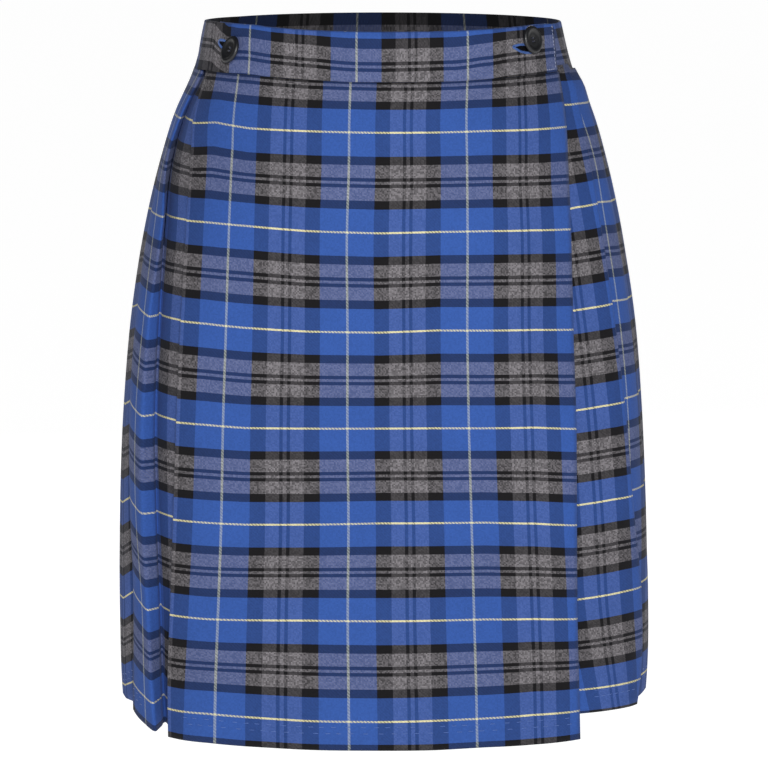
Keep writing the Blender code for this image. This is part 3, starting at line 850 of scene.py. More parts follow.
def moulded_plastic(name, colour):
    """Urea button plastic, moulded and tumbled: a soft gloss with fine scuffs on the rim."""
    material, tree, shader = new_material(name)
    place = put(tree, "ShaderNodeTexCoord").outputs["Object"]
    # Scuffs lie about 0.45 mm apart and the plastic's clouds about 4 mm.
    inputs = {"Vector": place, "Scale": 2200.0, "Detail": 4.0}
    scuffs = put(tree, "ShaderNodeTexNoise", inputs).outputs[0]
    inputs = {"Vector": place, "Scale": 260.0, "Detail": 2.0}
    cloud = put(tree, "ShaderNodeTexNoise", inputs).outputs[0]
    lighter = (*(channel * 1.7 for channel in colour), 1.0)
    inputs = {"Factor": cloud, 6: (*colour, 1.0), 7: lighter}
    tint = put(tree, "ShaderNodeMix", inputs, data_type="RGBA")
    rough = put(tree, "ShaderNodeMapRange", {"Value": scuffs, "To Min": 0.34, "To Max": 0.5})
    bump = put(tree, "ShaderNodeBump", {"Strength": 0.08, "Distance": 0.0001, "Height": scuffs})
    feed(tree, shader, {
        "Base Color": tint.outputs[2],
        "Roughness": rough.outputs[0],
        "Normal": bump.outputs["Normal"],
        "IOR": 1.54,
    })
    return material


def twisted_thread(name, colour):
    """Spun polyester sewing thread, two-ply and twisted: a silky sheen broken by the twist."""
    material, tree, shader = new_material(name)
    place = put(tree, "ShaderNodeTexCoord").outputs["Object"]
    # The twist's turns lie about 0.35 mm apart.
    inputs = {"Vector": place, "Scale": 900.0, "Distortion": 2.0}
    twist = put(tree, "ShaderNodeTexWave", inputs, bands_direction="DIAGONAL").outputs[1]
    # Painted shade: the thread is drawn darker along the grooves between its plies.
    darker = (*(channel * 0.6 for channel in colour), 1.0)
    inputs = {"Factor": twist, 6: darker, 7: (*colour, 1.0)}
    shade = put(tree, "ShaderNodeMix", inputs, data_type="RGBA")
    bump = put(tree, "ShaderNodeBump", {"Strength": 0.4, "Distance": 0.0001, "Height": twist})
    feed(tree, shader, {
        "Base Color": shade.outputs[2],
        "Normal": bump.outputs["Normal"],
        "Roughness": 0.55,
        "Sheen Weight": 0.2,
    })
    return material


class KiltCloth(bpy.types.PropertyGroup):
    """Sizes and yarn colours of the checked twill."""

    thickness: FloatProperty(
        name="Cloth thickness", description="Wall of one layer of twill in millimetres",
        default=0.8, min=0.3, max=1.2)
    rows: IntProperty(
        name="Rows", description="Rows of points from the waist seam to the hem",
        default=97, min=20, max=160)
    yarn_pitch: FloatProperty(
        name="Yarn pitch", description="Distance between two yarns in millimetres",
        default=0.575, min=0.2, max=1.0)
    float_contrast: FloatProperty(
        name="Float contrast", description="How crisply the twill's floats show",
        default=0.19, min=0.0, max=1.0, subtype="FACTOR")
    grey_mottle: FloatProperty(
        name="Grey mottle", description="How much the fibres of the grey yarn differ",
        default=0.95, min=0.0, max=1.5, subtype="FACTOR")
    sheen: FloatProperty(
        name="Sheen", description="Strength of the nap's sheen",
        default=0.05, min=0.0, max=1.0, subtype="FACTOR")
    blue_yarn: FloatVectorProperty(
        name="Blue yarn", description="Colour of the royal blue yarn",
        subtype="COLOR", default=linear("2D4D90"), min=0.0, max=1.0)
    black_yarn: FloatVectorProperty(
        name="Black yarn", description="Colour of the black yarn",
        subtype="COLOR", default=linear("0F0E10"), min=0.0, max=1.0)
    grey_yarn: FloatVectorProperty(
        name="Grey yarn", description="Middle colour of the mottled grey yarn",
        subtype="COLOR", default=linear("625F62"), min=0.0, max=1.0)
    white_yarn: FloatVectorProperty(
        name="White yarn", description="Colour of the pale warp line",
        subtype="COLOR", default=linear("A2A9A9"), min=0.0, max=1.0)
    yellow_yarn: FloatVectorProperty(
        name="Yellow yarn", description="Colour of the pale yellow weft line",
        subtype="COLOR", default=linear("CCC59A"), min=0.0, max=1.0)


class KiltTrims(bpy.types.PropertyGroup):
    """Sizes and colours of the buttons and threads."""

    button_diameter: FloatProperty(
        name="Button diameter", description="Across a hip button in millimetres",
        default=20.0, min=12.0, max=28.0)
    button_colour: FloatVectorProperty(
        name="Button colour", description="Colour of the button plastic",
        subtype="COLOR", default=linear("0C0D10"), min=0.0, max=1.0)
    button_thread: FloatVectorProperty(
        name="Button thread", description="Colour of the thread that sews the buttons on",
        subtype="COLOR", default=linear("1E2238"), min=0.0, max=1.0)
    buttonhole_thread: FloatVectorProperty(
        name="Buttonhole thread", description="Colour of the buttonhole's satin stitch",
        subtype="COLOR", default=linear("2B569C"), min=0.0, max=1.0)
    seam_thread: FloatVectorProperty(
        name="Seam thread", description="Colour of the pale topstitching",
        subtype="COLOR", default=linear("8E94AE"), min=0.0, max=1.0)
    hem_thread: FloatVectorProperty(
        name="Hem thread", description="Colour of the hem's blind stitches",
        subtype="COLOR", default=linear("3F61A8"), min=0.0, max=1.0)


class KiltStage(bpy.types.PropertyGroup):
    """Floor, light and camera."""

    floor_drop: FloatProperty(
        name="Floor", description="Height of the floor below the waist",
        default=-1.0, unit="LENGTH")
    key_power: FloatProperty(
        name="Key power", description="Power of the large front light in watts",
        default=101.0, min=0.0)
    fill_power: FloatProperty(
        name="Fill power", description="Power of the light behind in watts",
        default=40.0, min=0.0)
    world_light: FloatProperty(
        name="Room light", description="Strength of the even white surroundings",
        default=0.06, min=0.0)


def finished(obj, context):
    """A finished piece rides on the body."""
    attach(obj, BODY)
    return obj


def twill_of(context):
    name = "woven check twill"
    return bpy.data.materials.get(name) or check_twill(name, context.scene.kilt_cloth)


def panel_object(name, lines, side, context, soft=(), sags=()):
    cloth = context.scene.kilt_cloth
    grid = panel_grid(lines, side, BAND_HEIGHT + 0.4, cloth.rows)
    for start, end in soft:
        soften(grid, start, end)
    drop, arc, outwards, cut, rise = grid
    # Cloth that lies behind the band goes up inside it, so no light shows at the seam.
    drop[0] -= BAND_TUCK * np.clip((-0.6 - outwards[0]) / 0.4, 0.0, 1.0)
    points = form_points(drop, arc, outwards + drape(arc, drop))
    if sags:
        points[..., 2] -= sag(sags, arc * side, drop) * MM
    down = weft_length(drop + rise)
    cuts = np.stack([cut, down], axis=-1) * MM
    mesh = sheet_mesh(name, points, cuts, side > 0)
    return cloth_object(name, mesh, twill_of(context), cloth.thickness, context)


class KILT_OT_front_apron(bpy.types.Operator):
    """Builds the flat outer apron with the fold at its left edge"""

    bl_idname = "kilt.front_apron"
    bl_label = "Front apron"

    def execute(self, context):
        apron = panel_object("apron_front", apron_lines(), 1, context, sags=APRON_SAGS)
        finished(apron, context)
        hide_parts("front_apron")
        return {"FINISHED"}


class KILT_OT_under_apron(bpy.types.Operator):
    """Builds the flat inner apron behind the front one"""

    bl_idname = "kilt.under_apron"
    bl_label = "Under apron"

    def execute(self, context):
        apron = panel_object("apron_under", under_apron_lines(), 1, context)
        finished(apron, context)
        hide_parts("under_apron")
        return {"FINISHED"}


class KILT_OT_pleats(bpy.types.Operator):
    """Builds the knife pleats of both sides, which meet at the centre back"""

    bl_idname = "kilt.pleats"
    bl_label = "Pleats"

    def execute(self, context):
        left = panel_object(
            "pleat_cloth_left", left_panel_lines(), -1, context, soft=LEFT_SOFT, sags=LEFT_SAGS)
        right = panel_object("pleat_cloth_right", right_panel_lines(), 1, context, sags=RIGHT_SAGS)
        for obj, node in ((left, "pleats_left"), (right, "pleats_right")):
            finished(obj, context)
            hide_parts(node)
        return {"FINISHED"}


BAND_UNDER_END = 141.0
BAND_OUTER_END = 141.5
BAND_UNDER_STAND = -3.6
BAND_LAP_CLEAR = 6.0
BAND_RISE = 62.0
BAND_HALF_WALL = 0.62
BAND_WALL = 0.7
BAND_COLUMNS = 340
BAND_SIDE_ROWS = 8
# Pale lines on the band: arc length from the centre front and cut length.
BAND_WHITES = ((-555.0, -543.0), (-100.2, -84.0), (-19.2, 0.0), (59.2, 84.0), (141.5, 163.0))
# How far the worn band is pulled up, at arc lengths from the centre front: its top and bottom.
BAND_LIFTS = (
    (-240, 0.0, 0.0), (-195, 1.0, 1.0), (-150, 2.9, 2.9), (-100, 2.8, 2.9), (-86, 1.9, 2.2),
    (-73, 1.3, 2.0), (-61, 0.9, 1.4), (-43, 0.4, 0.7), (-25, 0, 0), (51, 0, 0), (69, 0.5, 0.7),
    (87, 0.9, 1.3), (107, 1.5, 1.9), (122, 1.9, 2.3), (135, 1.8, 2.6), (150, 0.6, 2.4),
    (195, 0.3, 1.0), (240, 0.0, 0.0),
)
BAND_SKEWS = (
    (-400, 0.0), (-200, 8.0), (-141, 8.0), (-132, 4.5), (-122, 1.4), (-105, 2.3), (-92, 1.8),
    (-79, 1.3), (-60, 0.9), (-50, 0.8), (-34, 0.0), (-16, -0.6), (0, -0.7), (26, -0.2), (51, 0.1),
    (60, 0.5), (69, 1.2), (78, 1.6), (87, 2.4), (97, 2.8), (141, 2.8),
)
# Drop on the band and cut length down the warp there; the band ends in the black stripe.
BAND_ROWS = ((0.0, 13.5), (10.55, 22.45), (34.0, 45.9))
BAND_LAST_CUT = 53.0


def columns_of(table):
    return [np.array(column, float) for column in zip(*table)]


def band_stand(arc):
    rise = np.clip((arc - BAND_OUTER_END - BAND_LAP_CLEAR) / BAND_RISE, 0.0, 1.0)
    return BAND_UNDER_STAND * (1 - rise * rise * (3 - 2 * rise))


def band_cut(front):
    """Cut length along the band by its pale lines on the front, even all the way round."""
    (far, far_cut), (near, near_cut) = BAND_WHITES[:2]
    cut = far_cut + (front - far) * (near_cut - far_cut) / (near - far)
    for (a0, c0), (a1, c1) in zip(BAND_WHITES, BAND_WHITES[1:]):
        here = (front > a0) & (front <= a1)
        cut = np.where(here, c0 + (c1 - c0) * (front - a0) / (a1 - a0), cut)
    return cut


def band_profile():
    """Drops and offsets of the folded strip: up its inside, over the top, down its outside."""
    rise = np.linspace(BAND_HEIGHT, BAND_HALF_WALL, BAND_SIDE_ROWS)
    angles = np.linspace(0, math.pi, 7)[1:-1]
    side = np.full(BAND_SIDE_ROWS, BAND_HALF_WALL)
    heights = np.concatenate([rise, BAND_HALF_WALL * (1 - np.sin(angles)), rise[::-1]])
    offsets = np.concatenate([-side, -BAND_HALF_WALL * np.cos(angles), side])
    return heights[:, None], offsets[:, None]


class KILT_OT_waistband(bpy.types.Operator):
    """Builds the straight waistband, folded over at its top and lapped across the front"""

    bl_idname = "kilt.waistband"
    bl_label = "Waistband"

    def execute(self, context):
        heights, offsets = band_profile()
        turn = 2 * half_girth(BAND_HEIGHT / 2)
        share = np.linspace(0.0, 1.0, BAND_COLUMNS)
        start = -BAND_UNDER_END
        arcs = start + (BAND_OUTER_END + turn - start) * share
        drop = np.repeat(heights, BAND_COLUMNS, axis=1)
        girth = 2 * half_girth(drop)
        arc = start + (BAND_OUTER_END + girth - start) * share
        # The two layers are pressed together at both ends of the strip.
        ends = np.clip(np.minimum(arcs - arcs[0], arcs[-1] - arcs) / 3.0, 0.0, 1.0)
        pinch = 0.62 + 0.38 * np.sqrt(ends)
        depth = drop / BAND_HEIGHT
        pucker = 0.25 * np.sin(arc * 0.23) * np.sin(math.pi * depth)
        points = form_points(drop, arc, band_stand(arc) + offsets * pinch + pucker)
        around = (arc + girth / 2) % girth - girth / 2
        places, tops, bottoms = columns_of(BAND_LIFTS)
        lift = np.interp(around, places, tops) * (1 - depth)
        points[..., 2] += (lift + np.interp(around, places, bottoms) * depth) * MM

        # The lap over the front is measured from the centre front, and the rest runs on from it.
        hip = np.clip((arcs - turn + 200.0) / 60.0, 0.0, 1.0)
        front = hip * (arc - girth) + (1.0 - hip) * (arcs - turn)
        cut = band_cut(front)
        # The fold at the top keeps its stripe, except at the lap's end on the left.
        keep = (drop + 3.0) / 10.0 + np.clip((-112.0 - front) / 8.0, 0.0, 1.0)
        skew = np.interp(front, *columns_of(BAND_SKEWS)) * np.clip(keep, 0.0, 1.0)
        outside = np.minimum(np.interp(drop, *columns_of(BAND_ROWS)) + skew, BAND_LAST_CUT)
        down = np.where(offsets > 0, outside, 19.0 + 0.4 * drop)
        cuts = np.stack([cut, down], axis=-1) * MM
        mesh = sheet_mesh("waistband_cloth", points, cuts, False)
        # Marks the band's inner layer, whose colour is darkened there as painted shade.
        inside = mesh.attributes.new("inside", "FLOAT", "POINT")
        inner = np.repeat(offsets[:, 0] < -0.1, BAND_COLUMNS)
        inside.data.foreach_set("value", inner.astype(np.float32))
        cloth = context.scene.kilt_cloth
        material = check_twill("woven check twill, band", cloth, painted_inside_shade=True)
        band = cloth_object("waistband_cloth", mesh, material, BAND_WALL, context)
        finished(band, context)
        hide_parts("waistband")
        return {"FINISHED"}


BUTTON_THICKNESS = 3.0
BUTTON_LIFT = 1.3
# Outline of the turned button, back to dished face: share of its radius and of its thickness.
BUTTON_PROFILE = (
    (0.80, 0.0), (0.93, 0.08), (1.0, 0.30), (1.0, 0.56), (0.98, 0.74), (0.94, 0.88), (0.88, 0.97),
    (0.81, 1.0), (0.75, 0.98), (0.70, 0.91), (0.65, 0.81), (0.60, 0.72), (0.53, 0.65), (0.44, 0.62),
)
HOLE_PLACE = 1.15
HOLE_RADIUS = 0.92
THREAD_RADIUS = 0.19
THREAD_LANES = (-0.33, 0.0, 0.33)
STITCH_PROFILE = ((0.35, -0.5), (0.8, -0.44), (1.0, -0.3), (1.0, 0.3), (0.8, 0.44), (0.35, 0.5))
# Drop below the top edge and arc length from the centre front of each button.
BUTTONS = {"button_left": (15.5, -118.0), "button_right": (9.5, 113.0)}
# How far each button is shifted up and round, lifted and leant by the shank of thread under it.
BUTTON_SHIFTS = {
    "button_left": (0.0, 1.8, 1.0, -0.17, -0.2),
    "button_right": (1.4, -1.0, 0.4, 0.0, 0.14),
}
# Each buttonhole gapes behind its button: start and end arc, drop, tilt, half height, bluntness.
BUTTONHOLES = {
    "button_left": (-132.0, -113.0, 10.6, 0.25, 3.0, 0.4),
    "button_right": (95.5, 116.5, 12.0, 0.17, 2.7, 0.85),
}
BUTTONHOLE_STITCHES = 64


@contextmanager
def edit_mode():
    """Edit mode on the active object, with its whole mesh selected."""
    bpy.ops.object.mode_set(mode="EDIT")
    bpy.ops.mesh.select_all(action="SELECT")
    yield
    bpy.ops.object.mode_set(mode="OBJECT")


def apply_place():
    bpy.ops.object.transform_apply(location=True, rotation=True, scale=True)


def turned_piece(name, sides, profile, radius, height):
    """Solid of revolution grown by extruding a disc through the rings of a profile."""
    bpy.ops.object.select_all(action="DESELECT")
    width, level = profile[0]
    bpy.ops.mesh.primitive_circle_add(
        vertices=sides, radius=width * radius, fill_type="NGON", location=(0, 0, level * height))
    obj = bpy.context.active_object
    obj.name = name
    apply_place()
    with edit_mode():
        for across, up in profile[1:]:
            step = (0, 0, (up - level) * height)
            bpy.ops.mesh.extrude_region_move(TRANSFORM_OT_translate={"value": step})
            bpy.ops.transform.resize(value=(across / width, across / width, 1.0))
            width, level = across, up
        bpy.ops.mesh.select_all(action="SELECT")
        bpy.ops.mesh.normals_make_consistent(inside=False)
    return obj


def joined(name, pieces):
    """Joins copies into one object at the origin."""
    bpy.ops.object.select_all(action="DESELECT")
    for piece in pieces:
        piece.select_set(True)
    bpy.context.view_layer.objects.active = pieces[0]
    if len(pieces) > 1:
        bpy.ops.object.join()
    whole = bpy.context.view_layer.objects.active
    whole.name = name
    whole.data.name = name
    return whole


def copy_of(obj, matrix, context):
    """Copy with its own mesh, placed in its mesh."""
    made = obj.copy()
    made.data = obj.data.copy()
    made.data.transform(matrix)
    context.collection.objects.link(made)
    return made


def remove(obj):
    bpy.data.objects.remove(obj, do_unlink=True)


def dress(obj, material):
    """Gives an object one material in place of any others."""
    obj.data.materials.clear()
    obj.data.materials.append(material)


def button_mould(radius):
    """Four-hole button at the origin, face up: turned rim, dished middle and drilled holes."""
    thick = BUTTON_THICKNESS * MM
    button = turned_piece("button_mould", 64, BUTTON_PROFILE, radius, thick)
    drills = []
    for x, y in ((1, 1), (-1, 1), (-1, -1), (1, -1)):
        place = (x * HOLE_PLACE * MM, y * HOLE_PLACE * MM, thick / 2)
        bpy.ops.mesh.primitive_cylinder_add(
            vertices=20, radius=HOLE_RADIUS * MM, depth=3 * thick, location=place)
        drills.append(bpy.context.active_object)
    drill = joined("drill", drills)
    bore = button.modifiers.new("thread holes", "BOOLEAN")
    bore.operation = "DIFFERENCE"
    bore.object = drill
    ease = button.modifiers.new("eased hole edges", "BEVEL")
    ease.width = 0.12 * MM
    ease.segments = 2
    ease.limit_method = "ANGLE"
    ease.angle_limit = math.radians(50)
    bpy.ops.object.select_all(action="DESELECT")
    button.select_set(True)
    bpy.context.view_layer.objects.active = button
    for modifier in (bore, ease):
        bpy.ops.object.modifier_apply(modifier=modifier.name)
    remove(drill)
    bpy.ops.object.shade_smooth_by_angle(angle=math.radians(40))
    return button


def thread_mould(context):
    """Loops of sewing thread through two pairs of holes, down into the band."""
    bpy.ops.object.select_all(action="DESELECT")
    bpy.ops.mesh.primitive_torus_add(
        major_segments=24, minor_segments=6, major_radius=HOLE_PLACE * MM,
        minor_radius=THREAD_RADIUS * MM, rotation=(math.pi / 2, 0, 0))
    loop = bpy.context.active_object
    apply_place()
    with edit_mode():
        bpy.ops.transform.resize(value=(1.0, 1.0, 1.12))
    bpy.ops.object.shade_smooth()
    middle = 0.31 * BUTTON_THICKNESS
    strands = []
    for row in (-HOLE_PLACE, HOLE_PLACE):
        for lane in THREAD_LANES:
            place = Vector((0.0, row + lane, middle + lane * 0.2)) * MM
            strands.append(copy_of(loop, Matrix.Translation(place), context))
    remove(loop)
    return joined("thread_mould", strands)


def stitch_mould(length, width):
    """One stitch along X at the origin: a rounded bar whose ends dive into the cloth."""
    stitch = turned_piece("stitch_mould", 6, STITCH_PROFILE, width / 2 * MM, length * MM)
    with edit_mode():
        bpy.ops.transform.rotate(
            value=math.pi / 2, orient_axis="Y", center_override=(0.0, 0.0, 0.0))
    for point in stitch.data.vertices:
        reach = abs(point.co.x) / (length * MM / 2)
        point.co.z -= max(reach - 0.55, 0.0) * 1.1 * width * MM
    bpy.ops.object.shade_smooth()
    return stitch


def form_seat(drop, arc, outwards):
    """Place on the form with X round the body to the right, Y up and Z outwards."""
    here, left, right, above, below = (
        Vector(form_points(*place, 0.0)) for place in (
            (drop, arc), (drop, arc - SLOPE_STEP), (drop, arc + SLOPE_STEP),
            (max(drop - SLOPE_STEP, 0.0), arc), (drop + SLOPE_STEP, arc),
        )
    )
    across = (right - left).normalized()
    normal = (below - above).cross(right - left).normalized()
    turn = Matrix((across, normal.cross(across), normal)).transposed().to_4x4()
    return Matrix.Translation(here + normal * outwards * MM) @ turn


def cloth_seat(cloth, drop, arc, heading, lift):
    """Place on a piece of cloth, found from outside, with X along a heading, round to down."""
    aim = form_seat(drop, arc, 25.0)
    normal = aim.to_3x3().col[2]
    found, place, facing, _ = cloth.ray_cast(aim.translation, -normal, distance=0.06)
    if not found:
        raise RuntimeError(f"no cloth of {cloth.name} at drop {drop:.1f} and arc {arc:.1f}")
    across = aim.to_3x3().col[0]
    across = (across - facing * across.dot(facing)).normalized()
    up = facing.cross(across)
    along = across * math.cos(heading) - up * math.sin(heading)
    turn = Matrix((along, facing.cross(along), facing)).transposed().to_4x4()
    return Matrix.Translation(place + facing * lift * MM) @ turn


def sewn(name, mould, cloth, places, material, context):
    """Stitches of one kind, laid on a piece of cloth and joined."""
    copies = [copy_of(mould, cloth_seat(cloth, *place), context) for place in places]
    remove(mould)
    work = joined(name, copies)
    dress(work, material)
    return finished(work, context)


class KILT_OT_buttons(bpy.types.Operator):
    """Makes a turned four-hole button for each hip and sews it on"""

    bl_idname = "kilt.buttons"
    bl_label = "Buttons"

    def execute(self, context):
        trims = context.scene.kilt_trims
        plastic = moulded_plastic("polished urea plastic", tuple(trims.button_colour))
        thread = twisted_thread("twisted sewing thread, button", tuple(trims.button_thread))
        mould = button_mould(trims.button_diameter / 2 * MM)
        loops = thread_mould(context)
        for name, (drop, arc) in BUTTONS.items():
            up, around, out, lean, yaw = BUTTON_SHIFTS[name]
            seat = form_seat(drop, arc + around, BUTTON_LIFT + out)
            seat = Matrix.Translation((0.0, 0.0, up * MM)) @ seat
            seat = seat @ Matrix.Rotation(lean, 4, "X") @ Matrix.Rotation(yaw, 4, "Y")
            button = copy_of(mould, seat, context)
            button.name = name + "_turned"
            dress(button, plastic)
            finished(button, context)
            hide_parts(name)
            strands = copy_of(loops, seat @ Matrix.Rotation(0.1, 4, "Z"), context)
            strands.name = name + "_thread"
            dress(strands, thread)
            finished(strands, context)
        remove(mould)
        remove(loops)
        return {"FINISHED"}


class KILT_OT_buttonholes(bpy.types.Operator):
    """Sews the satin-stitched buttonhole that shows beside each button"""

    bl_idname = "kilt.buttonholes"
    bl_label = "Buttonholes"

    def execute(self, context):
        colour = tuple(context.scene.kilt_trims.buttonhole_thread)
        thread = twisted_thread("twisted silk thread, buttonhole", colour)
        band = bpy.data.objects["waistband_cloth"]
        for name, (start, end, first_drop, tilt, half, blunt) in BUTTONHOLES.items():
            outline = []
            for turn in np.linspace(0.0, 2 * math.pi, BUTTONHOLE_STITCHES, endpoint=False):
                share = (1 - math.cos(turn)) / 2
                reach = half * math.sin(math.pi * share) ** blunt * (1 if turn < math.pi else -1)
                arc = start + (end - start) * share
                outline.append((arc, first_drop + tilt * (arc - start) + reach))
            places = []
            for index, (arc, drop) in enumerate(outline):
                before, after = outline[index - 1], outline[(index + 1) % len(outline)]
                heading = math.atan2(after[1] - before[1], after[0] - before[0]) + math.pi / 2
                places.append((drop, arc, heading, 0.12))
            border = sewn(
                name.replace("button", "buttonhole"), stitch_mould(2.1, 0.8), band, places, thread,
                context)
            self.painted_slit_shade(border, band, outline, context)
        return {"FINISHED"}

    def painted_slit_shade(self, border, band, outline, context):
        """Near-black sheet of painted shade between the two lips of the hole, laid on the uncut
        band and joined to its border.
        """
        middle = [sum(values) / len(outline) for values in zip(*outline)]
        bpy.ops.object.select_all(action="DESELECT")
        bpy.ops.mesh.primitive_circle_add(vertices=len(outline), radius=1.0, fill_type="NGON")
        slit_shade_sheet = context.active_object
        with edit_mode():
            bpy.ops.mesh.inset(thickness=0.5)
        for point in slit_shade_sheet.data.vertices:
            x, y = point.co.x, point.co.y
            index = math.atan2(y, x) / (2 * math.pi) * len(outline)
            rim = outline[round(index) % len(outline)]
            share = min(math.hypot(x, y), 1.0)
            arc, drop = (inner + (outer - inner) * share for inner, outer in zip(middle, rim))
            point.co = cloth_seat(band, drop, arc, 0.0, 0.16).translation
        with edit_mode():
            bpy.ops.mesh.normals_make_consistent(inside=False)
        # Painted shade: a near-black sheet stands in for the shadowed band seen through the hole.
        shade = twisted_thread("shaded gap of a buttonhole", (0.002, 0.002, 0.003))
        shader = shade.node_tree.nodes["Principled BSDF"]
        feed(shade.node_tree, shader, {"Sheen Weight": 0.0, "Specular IOR Level": 0.1})
        dress(slit_shade_sheet, shade)
        joined(border.name, [border, slit_shade_sheet])


class KILT_OT_stitches(bpy.types.Operator):
    """Sews the topstitching at the band's end and the blind stitches above the hem"""

    bl_idname = "kilt.stitches"
    bl_label = "Stitches"

    def execute(self, context):
        trims = context.scene.kilt_trims
        pale = twisted_thread("twisted sewing thread, pale", tuple(trims.seam_thread))
        blue = twisted_thread("twisted sewing thread, hem", tuple(trims.hem_thread))
        objects = bpy.data.objects
        end = [(0.6 + 2.5 * index, 138.4, math.pi / 2, 0.05) for index in range(12)]
        end += [(29.9, 127.6 + 2.6 * index, 0.0, 0.05) for index in range(4)]
        band = objects["waistband_cloth"]
        mould = stitch_mould(1.7, 0.6)
        sewn("topstitching_band_end", mould, band, end, pale, context)
        rows = []
        for row, drop in enumerate((488.5, 493.0)):
            for index in range(31):
                arc = -146.0 + 9.3 * index + 3.1 * row + 1.5 * math.sin(5.1 * index + row)
                rows.append((*self.hung(APRON_SAGS, arc, drop), 0.03 * math.sin(3.3 * index)))
        self.hem("hem_stitches_apron", objects["apron_front"], 1, rows, blue, context)
        for side, turn, sags in (("left", -1, LEFT_SAGS), ("right", 1, RIGHT_SAGS)):
            rows = []
            for number in range(1, EDGES_PER_SIDE + 1):
                lowest = LENGTH - hem_raise(side, number) - hem_short(side, number)
                for drop in (lowest - 12.0, lowest - 17.0):
                    far = float(edge_arc(side, number, drop))
                    near = float(face_start(side, number, drop)[0])
                    count = max(2, round((far - near) / 9.0))
                    for index in range(count):
                        arc = near + (far - near) * (0.3 + 0.55 * index / max(count - 1, 1))
                        heading = 0.04 * math.sin(2.1 * number + index)
                        rows.append((*self.hung(sags, arc, drop), heading))
            cloth = objects[f"pleat_cloth_{side}"]
            self.hem(f"hem_stitches_{side}", cloth, turn, rows, blue, context)
        return {"FINISHED"}

    def hung(self, sags, arc, drop):
        """Drop on the hanging cloth, with the arc length it belongs to."""
        return drop + float(sag(sags, np.float64(arc), np.float64(drop))), arc

    def hem(self, name, cloth, turn, rows, thread, context):
        places = [(drop, turn * arc, heading, 0.02) for drop, arc, heading in rows]
        sewn(name, stitch_mould(4.2, 0.5), cloth, places, thread, context)


# Each light's place in metres, the side of its square and its power as a share of the key's or
# the fill's.
AIM = Vector((0.0, 0.0, -0.25))
LIGHTS = (
    ("key_softbox", (0.2, -3.0, 1.0), 1.1, "key_power", 1.0),
    ("back_softbox", (-0.6, 3.2, 0.6), 2.4, "fill_power", 1.0),
    ("left_softbox", (-3.2, -0.2, 0.9), 1.6, "fill_power", 0.035),
    ("right_softbox", (3.2, 0.2, 0.9), 1.6, "fill_power", 0.035),
)
FLOOR_RADIUS = 40.0
# The photo's camera: 10.1 degrees above the level, 2.53 m from the waist.
CAMERA_PLACE = (0.0, -2.5232, 0.1832)
CAMERA_TILT = 10.1
CAMERA_LENS = 162.75


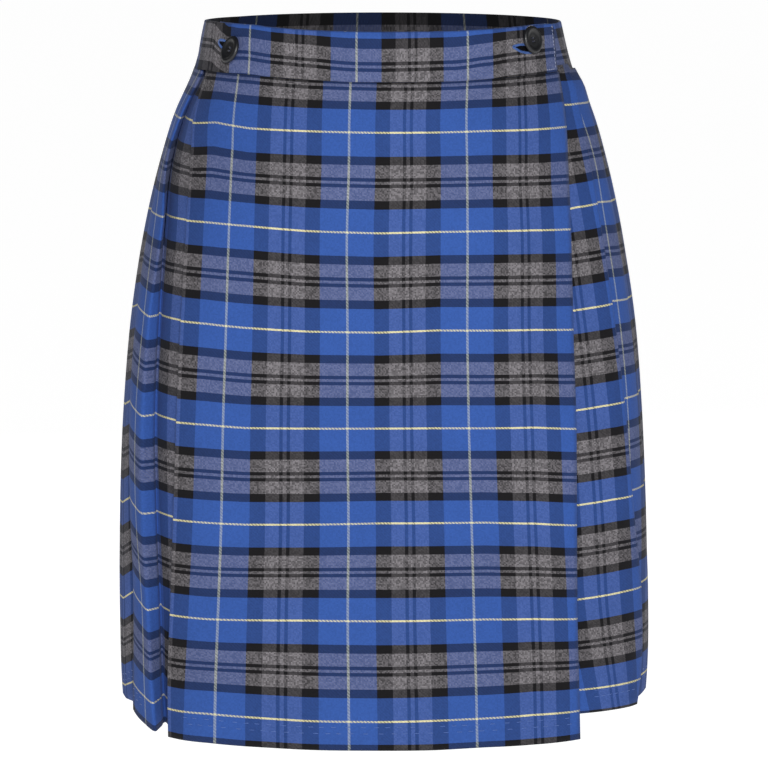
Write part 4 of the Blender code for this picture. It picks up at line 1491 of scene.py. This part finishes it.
class KILT_OT_stage(bpy.types.Operator):
    """Builds the pale floor, the soft studio light and the camera"""

    bl_idname = "kilt.stage"
    bl_label = "Stage"

    def execute(self, context):
        stage = context.scene.kilt_stage
        bpy.ops.object.select_all(action="DESELECT")
        bpy.ops.mesh.primitive_circle_add(
            vertices=96, radius=FLOOR_RADIUS, fill_type="NGON", location=(0, 0, stage.floor_drop))
        floor = context.active_object
        floor.name = "floor"
        apply_place()
        # Matt paper, lit from behind so that it stays white round the skirt.
        paper, tree, shader = new_material("matt paper floor")
        place = put(tree, "ShaderNodeTexCoord").outputs["Object"]
        grain = put(tree, "ShaderNodeTexNoise", {"Vector": place, "Scale": 40.0}).outputs[0]
        tone = put(tree, "ShaderNodeMapRange", {"Value": grain, "To Min": 0.19, "To Max": 0.22})
        feed(tree, shader, {
            "Base Color": tone.outputs[0],
            "Roughness": 0.9,
            "Emission Color": (1.0, 1.0, 1.0, 1.0),
            "Emission Strength": 0.97,
        })
        floor.data.materials.append(paper)

        world = bpy.data.worlds.new("white studio")
        world.use_nodes = True
        background = world.node_tree.nodes["Background"]
        white = {"Color": (1.0, 1.0, 1.0, 1.0), "Strength": stage.world_light}
        feed(world.node_tree, background, white)
        context.scene.world = world

        for name, place, size, power, share in LIGHTS:
            data = bpy.data.lights.new(name, "AREA")
            data.shape = "SQUARE"
            data.size = size
            data.energy = getattr(stage, power) * share
            lamp = bpy.data.objects.new(name, data)
            context.collection.objects.link(lamp)
            lamp.location = place
            lamp.rotation_euler = (AIM - Vector(place)).to_track_quat("-Z", "Y").to_euler()

        camera = bpy.data.cameras.new("photo camera")
        camera.lens = CAMERA_LENS
        camera.sensor_width = 36.0
        camera.clip_end = 200.0
        holder = bpy.data.objects.new("photo_camera", camera)
        context.collection.objects.link(holder)
        holder.location = CAMERA_PLACE
        holder.rotation_euler = (math.radians(90.0 - CAMERA_TILT), 0.0, 0.0)
        context.scene.camera = holder
        context.scene.view_settings.view_transform = "Standard"
        return {"FINISHED"}


class KILT_PT_pieces(bpy.types.Panel):
    """Lists the kilt's pieces in the sidebar"""

    bl_idname = "KILT_PT_pieces"
    bl_label = "Kilt skirt"
    bl_space_type = "VIEW_3D"
    bl_region_type = "UI"
    bl_category = "Kilt"

    def draw(self, context):
        for group in ("kilt_cloth", "kilt_trims", "kilt_stage"):
            settings = getattr(context.scene, group)
            for name in settings.bl_rna.properties.keys():
                if name not in ("rna_type", "name"):
                    self.layout.prop(settings, name)
        for operator in OPERATORS:
            self.layout.operator(operator.bl_idname)


GROUPS = {"kilt_cloth": KiltCloth, "kilt_trims": KiltTrims, "kilt_stage": KiltStage}
OPERATORS = (
    KILT_OT_front_apron,
    KILT_OT_under_apron,
    KILT_OT_pleats,
    KILT_OT_waistband,
    KILT_OT_buttons,
    KILT_OT_buttonholes,
    KILT_OT_stitches,
    KILT_OT_stage,
)


def register():
    for group in GROUPS.values():
        bpy.utils.register_class(group)
    for name, group in GROUPS.items():
        setattr(bpy.types.Scene, name, PointerProperty(type=group))
    for operator in OPERATORS:
        bpy.utils.register_class(operator)
    bpy.utils.register_class(KILT_PT_pieces)


def unregister():
    bpy.utils.unregister_class(KILT_PT_pieces)
    for operator in reversed(OPERATORS):
        bpy.utils.unregister_class(operator)
    for name, group in GROUPS.items():
        delattr(bpy.types.Scene, name)
        bpy.utils.unregister_class(group)


def main():
    register()
    for operator in OPERATORS:
        family, name = operator.bl_idname.split(".")
        getattr(getattr(bpy.ops, family), name)()


if __name__ == "__main__":
    main()
